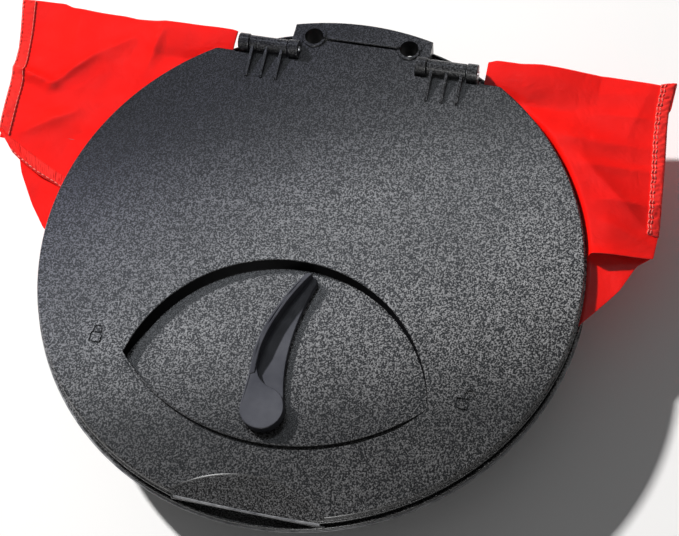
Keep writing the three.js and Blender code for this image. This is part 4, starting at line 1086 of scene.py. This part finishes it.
def screw(node, head_r, shank_r, down):
    """A pan-head cross-recess screw in its CAD node's place, with the head at the bottom or the top."""
    bottom, top, centre = low(node).z, high(node).z, middle(node)
    sense = 1 if down else -1
    face, tip = (bottom, top) if down else (top, bottom)
    head, pitch, root = 1.1, 0.9, shank_r * 0.8
    profile = [(0.3, face), (head_r * 0.55, face + sense * 0.12), (head_r * 0.86, face + sense * 0.42),
               (head_r, face + sense * 0.9), (head_r, face + sense * head), (shank_r, face + sense * head)]
    z = face + sense * (head + 0.6)
    while abs(z - tip) > 1.4:
        profile += [(root, z), (shank_r, z + sense * pitch * 0.35), (root, z + sense * pitch * 0.7)]
        z += sense * pitch
    profile += [(root, z), (0.25, tip)]
    made = lathe(node + "_threaded", profile, centre.xy, sides=48)
    arm, wide, deep = head_r * 0.62, head_r * 0.16, 0.75
    low_z, high_z = sorted((face - sense, face + sense * deep))
    cut(made, *[box("slot", centre.x - a, centre.x + a, centre.y - b, centre.y + b, low_z, high_z)
                for a, b in ((arm, wide), (wide, arm))])
    show(made, "steel", node)


def pin_x(node):
    """A plain pin along X with chamfered ends."""
    r = (high(node).z - low(node).z) / 2
    show(bush(node + "_turned", r * 0.3, r, low(node).x, high(node).x, min(0.45, r * 0.3), middle(node).yz,
              "X", 48, 3), "steel", node)


def spring(node, side):
    """A torsion spring: one wire from the lower arm through the coil to the arm that lifts the lid."""
    coil, steps = [], int(24 * SPRING_TURNS)
    for t in (k / steps for k in range(steps + 1)):
        turn = -math.pi / 2 + 2 * math.pi * SPRING_TURNS * t
        coil.append((side * SPRING_X + (t - 0.5) * (SPRING_TURNS + 0.5) * SPRING_PITCH,
                     SPRING_Y + SPRING_R * math.cos(turn), SPRING_Z + SPRING_R * math.sin(turn)))
    lower, upper = coil[0], coil[-1]
    path = [(lower[0], low(node).y + 6, lower[2]), (lower[0], SPRING_Y - 4, lower[2])] + coil
    path += [(upper[0], SPRING_Y - 4, upper[2]), (upper[0], low(node).y + 0.4, high(node).z - SPRING_WIRE)]
    show(tube(node + "_wound", path, SPRING_WIRE, 16), "spring_steel", node, angle=60)


def bumper(node):
    bottom, top = low(node).z, high(node).z
    corners = [(1, bottom), (5.6, bottom), (5.6, bottom + 1.6), (4.3, bottom + 2.6), (3.7, top), (1, top)]
    profile = rounded(corners, [0, 0.4, 0.5, 0.6, 0.9, 0])
    show(lathe(node + "_moulded", profile, middle(node).xy, sides=48), "rubber", node)


def finer(node, slot):
    """Keeps a CAD node whose shape is right, with rounded edges and its material."""
    piece = frame["nodes"][node]
    modifier = piece.modifiers.new("edges", "BEVEL")
    modifier.width, modifier.segments = 0.35 * MM, 3
    modifier.limit_method, modifier.angle_limit = "ANGLE", math.radians(34)
    modifier.harden_normals = True
    paint(piece, LOOKS[slot])


# ---- stage ----


def area_light(name, place, size, watts, colour=(1, 1, 1)):
    """A square light that faces the middle of the cover."""
    data = bpy.data.lights.new(name, "AREA")
    data.size, data.energy, data.color = size, watts, colour
    lamp = put_in_scene(name, data)
    lamp.location = place
    lamp.rotation_euler = (-Vector(place)).to_track_quat("-Z", "Y").to_euler()
    return lamp


def stage():
    """Pale floor, soft light from the rear left, and the camera over the front right of the cover."""
    scene = bpy.context.scene
    half = 4000
    floor = walls("floor", [(-half, -half), (half, -half), (half, half), (-half, half)], -3, -0.4)
    look = Look("floor", Specular_IOR_Level=0.2)
    colour, dull = look.patches(3.0, 2.0, 0.9, 0.94), look.patches(20.0, 2.0, 0.8, 0.9)
    floor.data.materials.append(look.finish(colour, dull, look.bump(look.noise(300.0), 0.00005, 0.1)))

    key = area_light("key_light", (-2.5, 1.4, 2.1), 0.16, 205, (1.0, 0.985, 0.97))
    key.visible_glossy = False  # the sheen on the cover comes from the strip above it
    strip = area_light("strip_light", (-0.46, 0.83, 1.86), 1.7, 9.5, (0.86, 0.92, 1.0))
    strip.data.shape, strip.data.size_y = "RECTANGLE", 0.3
    strip.visible_diffuse = False
    rim = area_light("rim_light", (0.35, -1.9, 0.8), 0.5, 44)
    rim.visible_diffuse = False  # draws the edges that face the front
    world = bpy.data.worlds.new("studio")
    world.use_nodes = True
    background = world.node_tree.nodes["Background"]
    background.inputs["Color"].default_value = (1, 1, 1, 1)
    background.inputs["Strength"].default_value = 0.13
    scene.world = world
    scene.view_settings.view_transform = "Standard"

    data = bpy.data.cameras.new("camera")
    data.lens, data.sensor_width = 71.12, 36
    camera = put_in_scene("camera", data)
    camera.location = (0.1440, -0.3079, 0.6895)
    camera.rotation_euler = [math.radians(angle) for angle in (26.43, 4.87, 12.75)]
    scene.camera = camera


stage()
lid_shell()
lever()
base_shell()
foam_insert()
flag_sheet()
for names, head_r, shank_r, down in (
        (CLAMP_SCREWS, 2.8, 1.4, True), (["catch_screw"], 1.9, 1.3, True), (["cam_screw"], 3.2, 1.4, True),
        (KEEPER_SCREWS, 2.6, 1.4, False), (BRACKET_SCREWS, 2.4, 1.4, True),
        (["trigger_screw"], 2.6, 1.4, False)):
    for name in names:
        screw(name, head_r, shank_r, down)
for name in ("hinge_pin_left", "hinge_pin_right", "spring_pin_left", "spring_pin_right"):
    pin_x(name)
spring("lid_spring_left", -1)
spring("lid_spring_right", 1)
for i in (1, 2, 3, 4):
    bumper(f"rubber_bumper_{i}")
for slot, names in {
    "steel": ("latch_keeper", "latch_cam", "lever_washer", "lid_catch", "trigger", "stem_pin_left",
              "stem_pin_right", "spool_axle"),
    "black_abs": ("flag_clamp_left", "flag_clamp_right", "stem_bracket", "stem_block", "spool_bracket"),
    "spring_steel": ("flag_stay_rod", "trip_shaft"),
    "aluminium": ("stem_tube",),
    "spool_abs": ("spool_nut", "spool"),
}.items():
    for name in names:
        finer(name, slot)
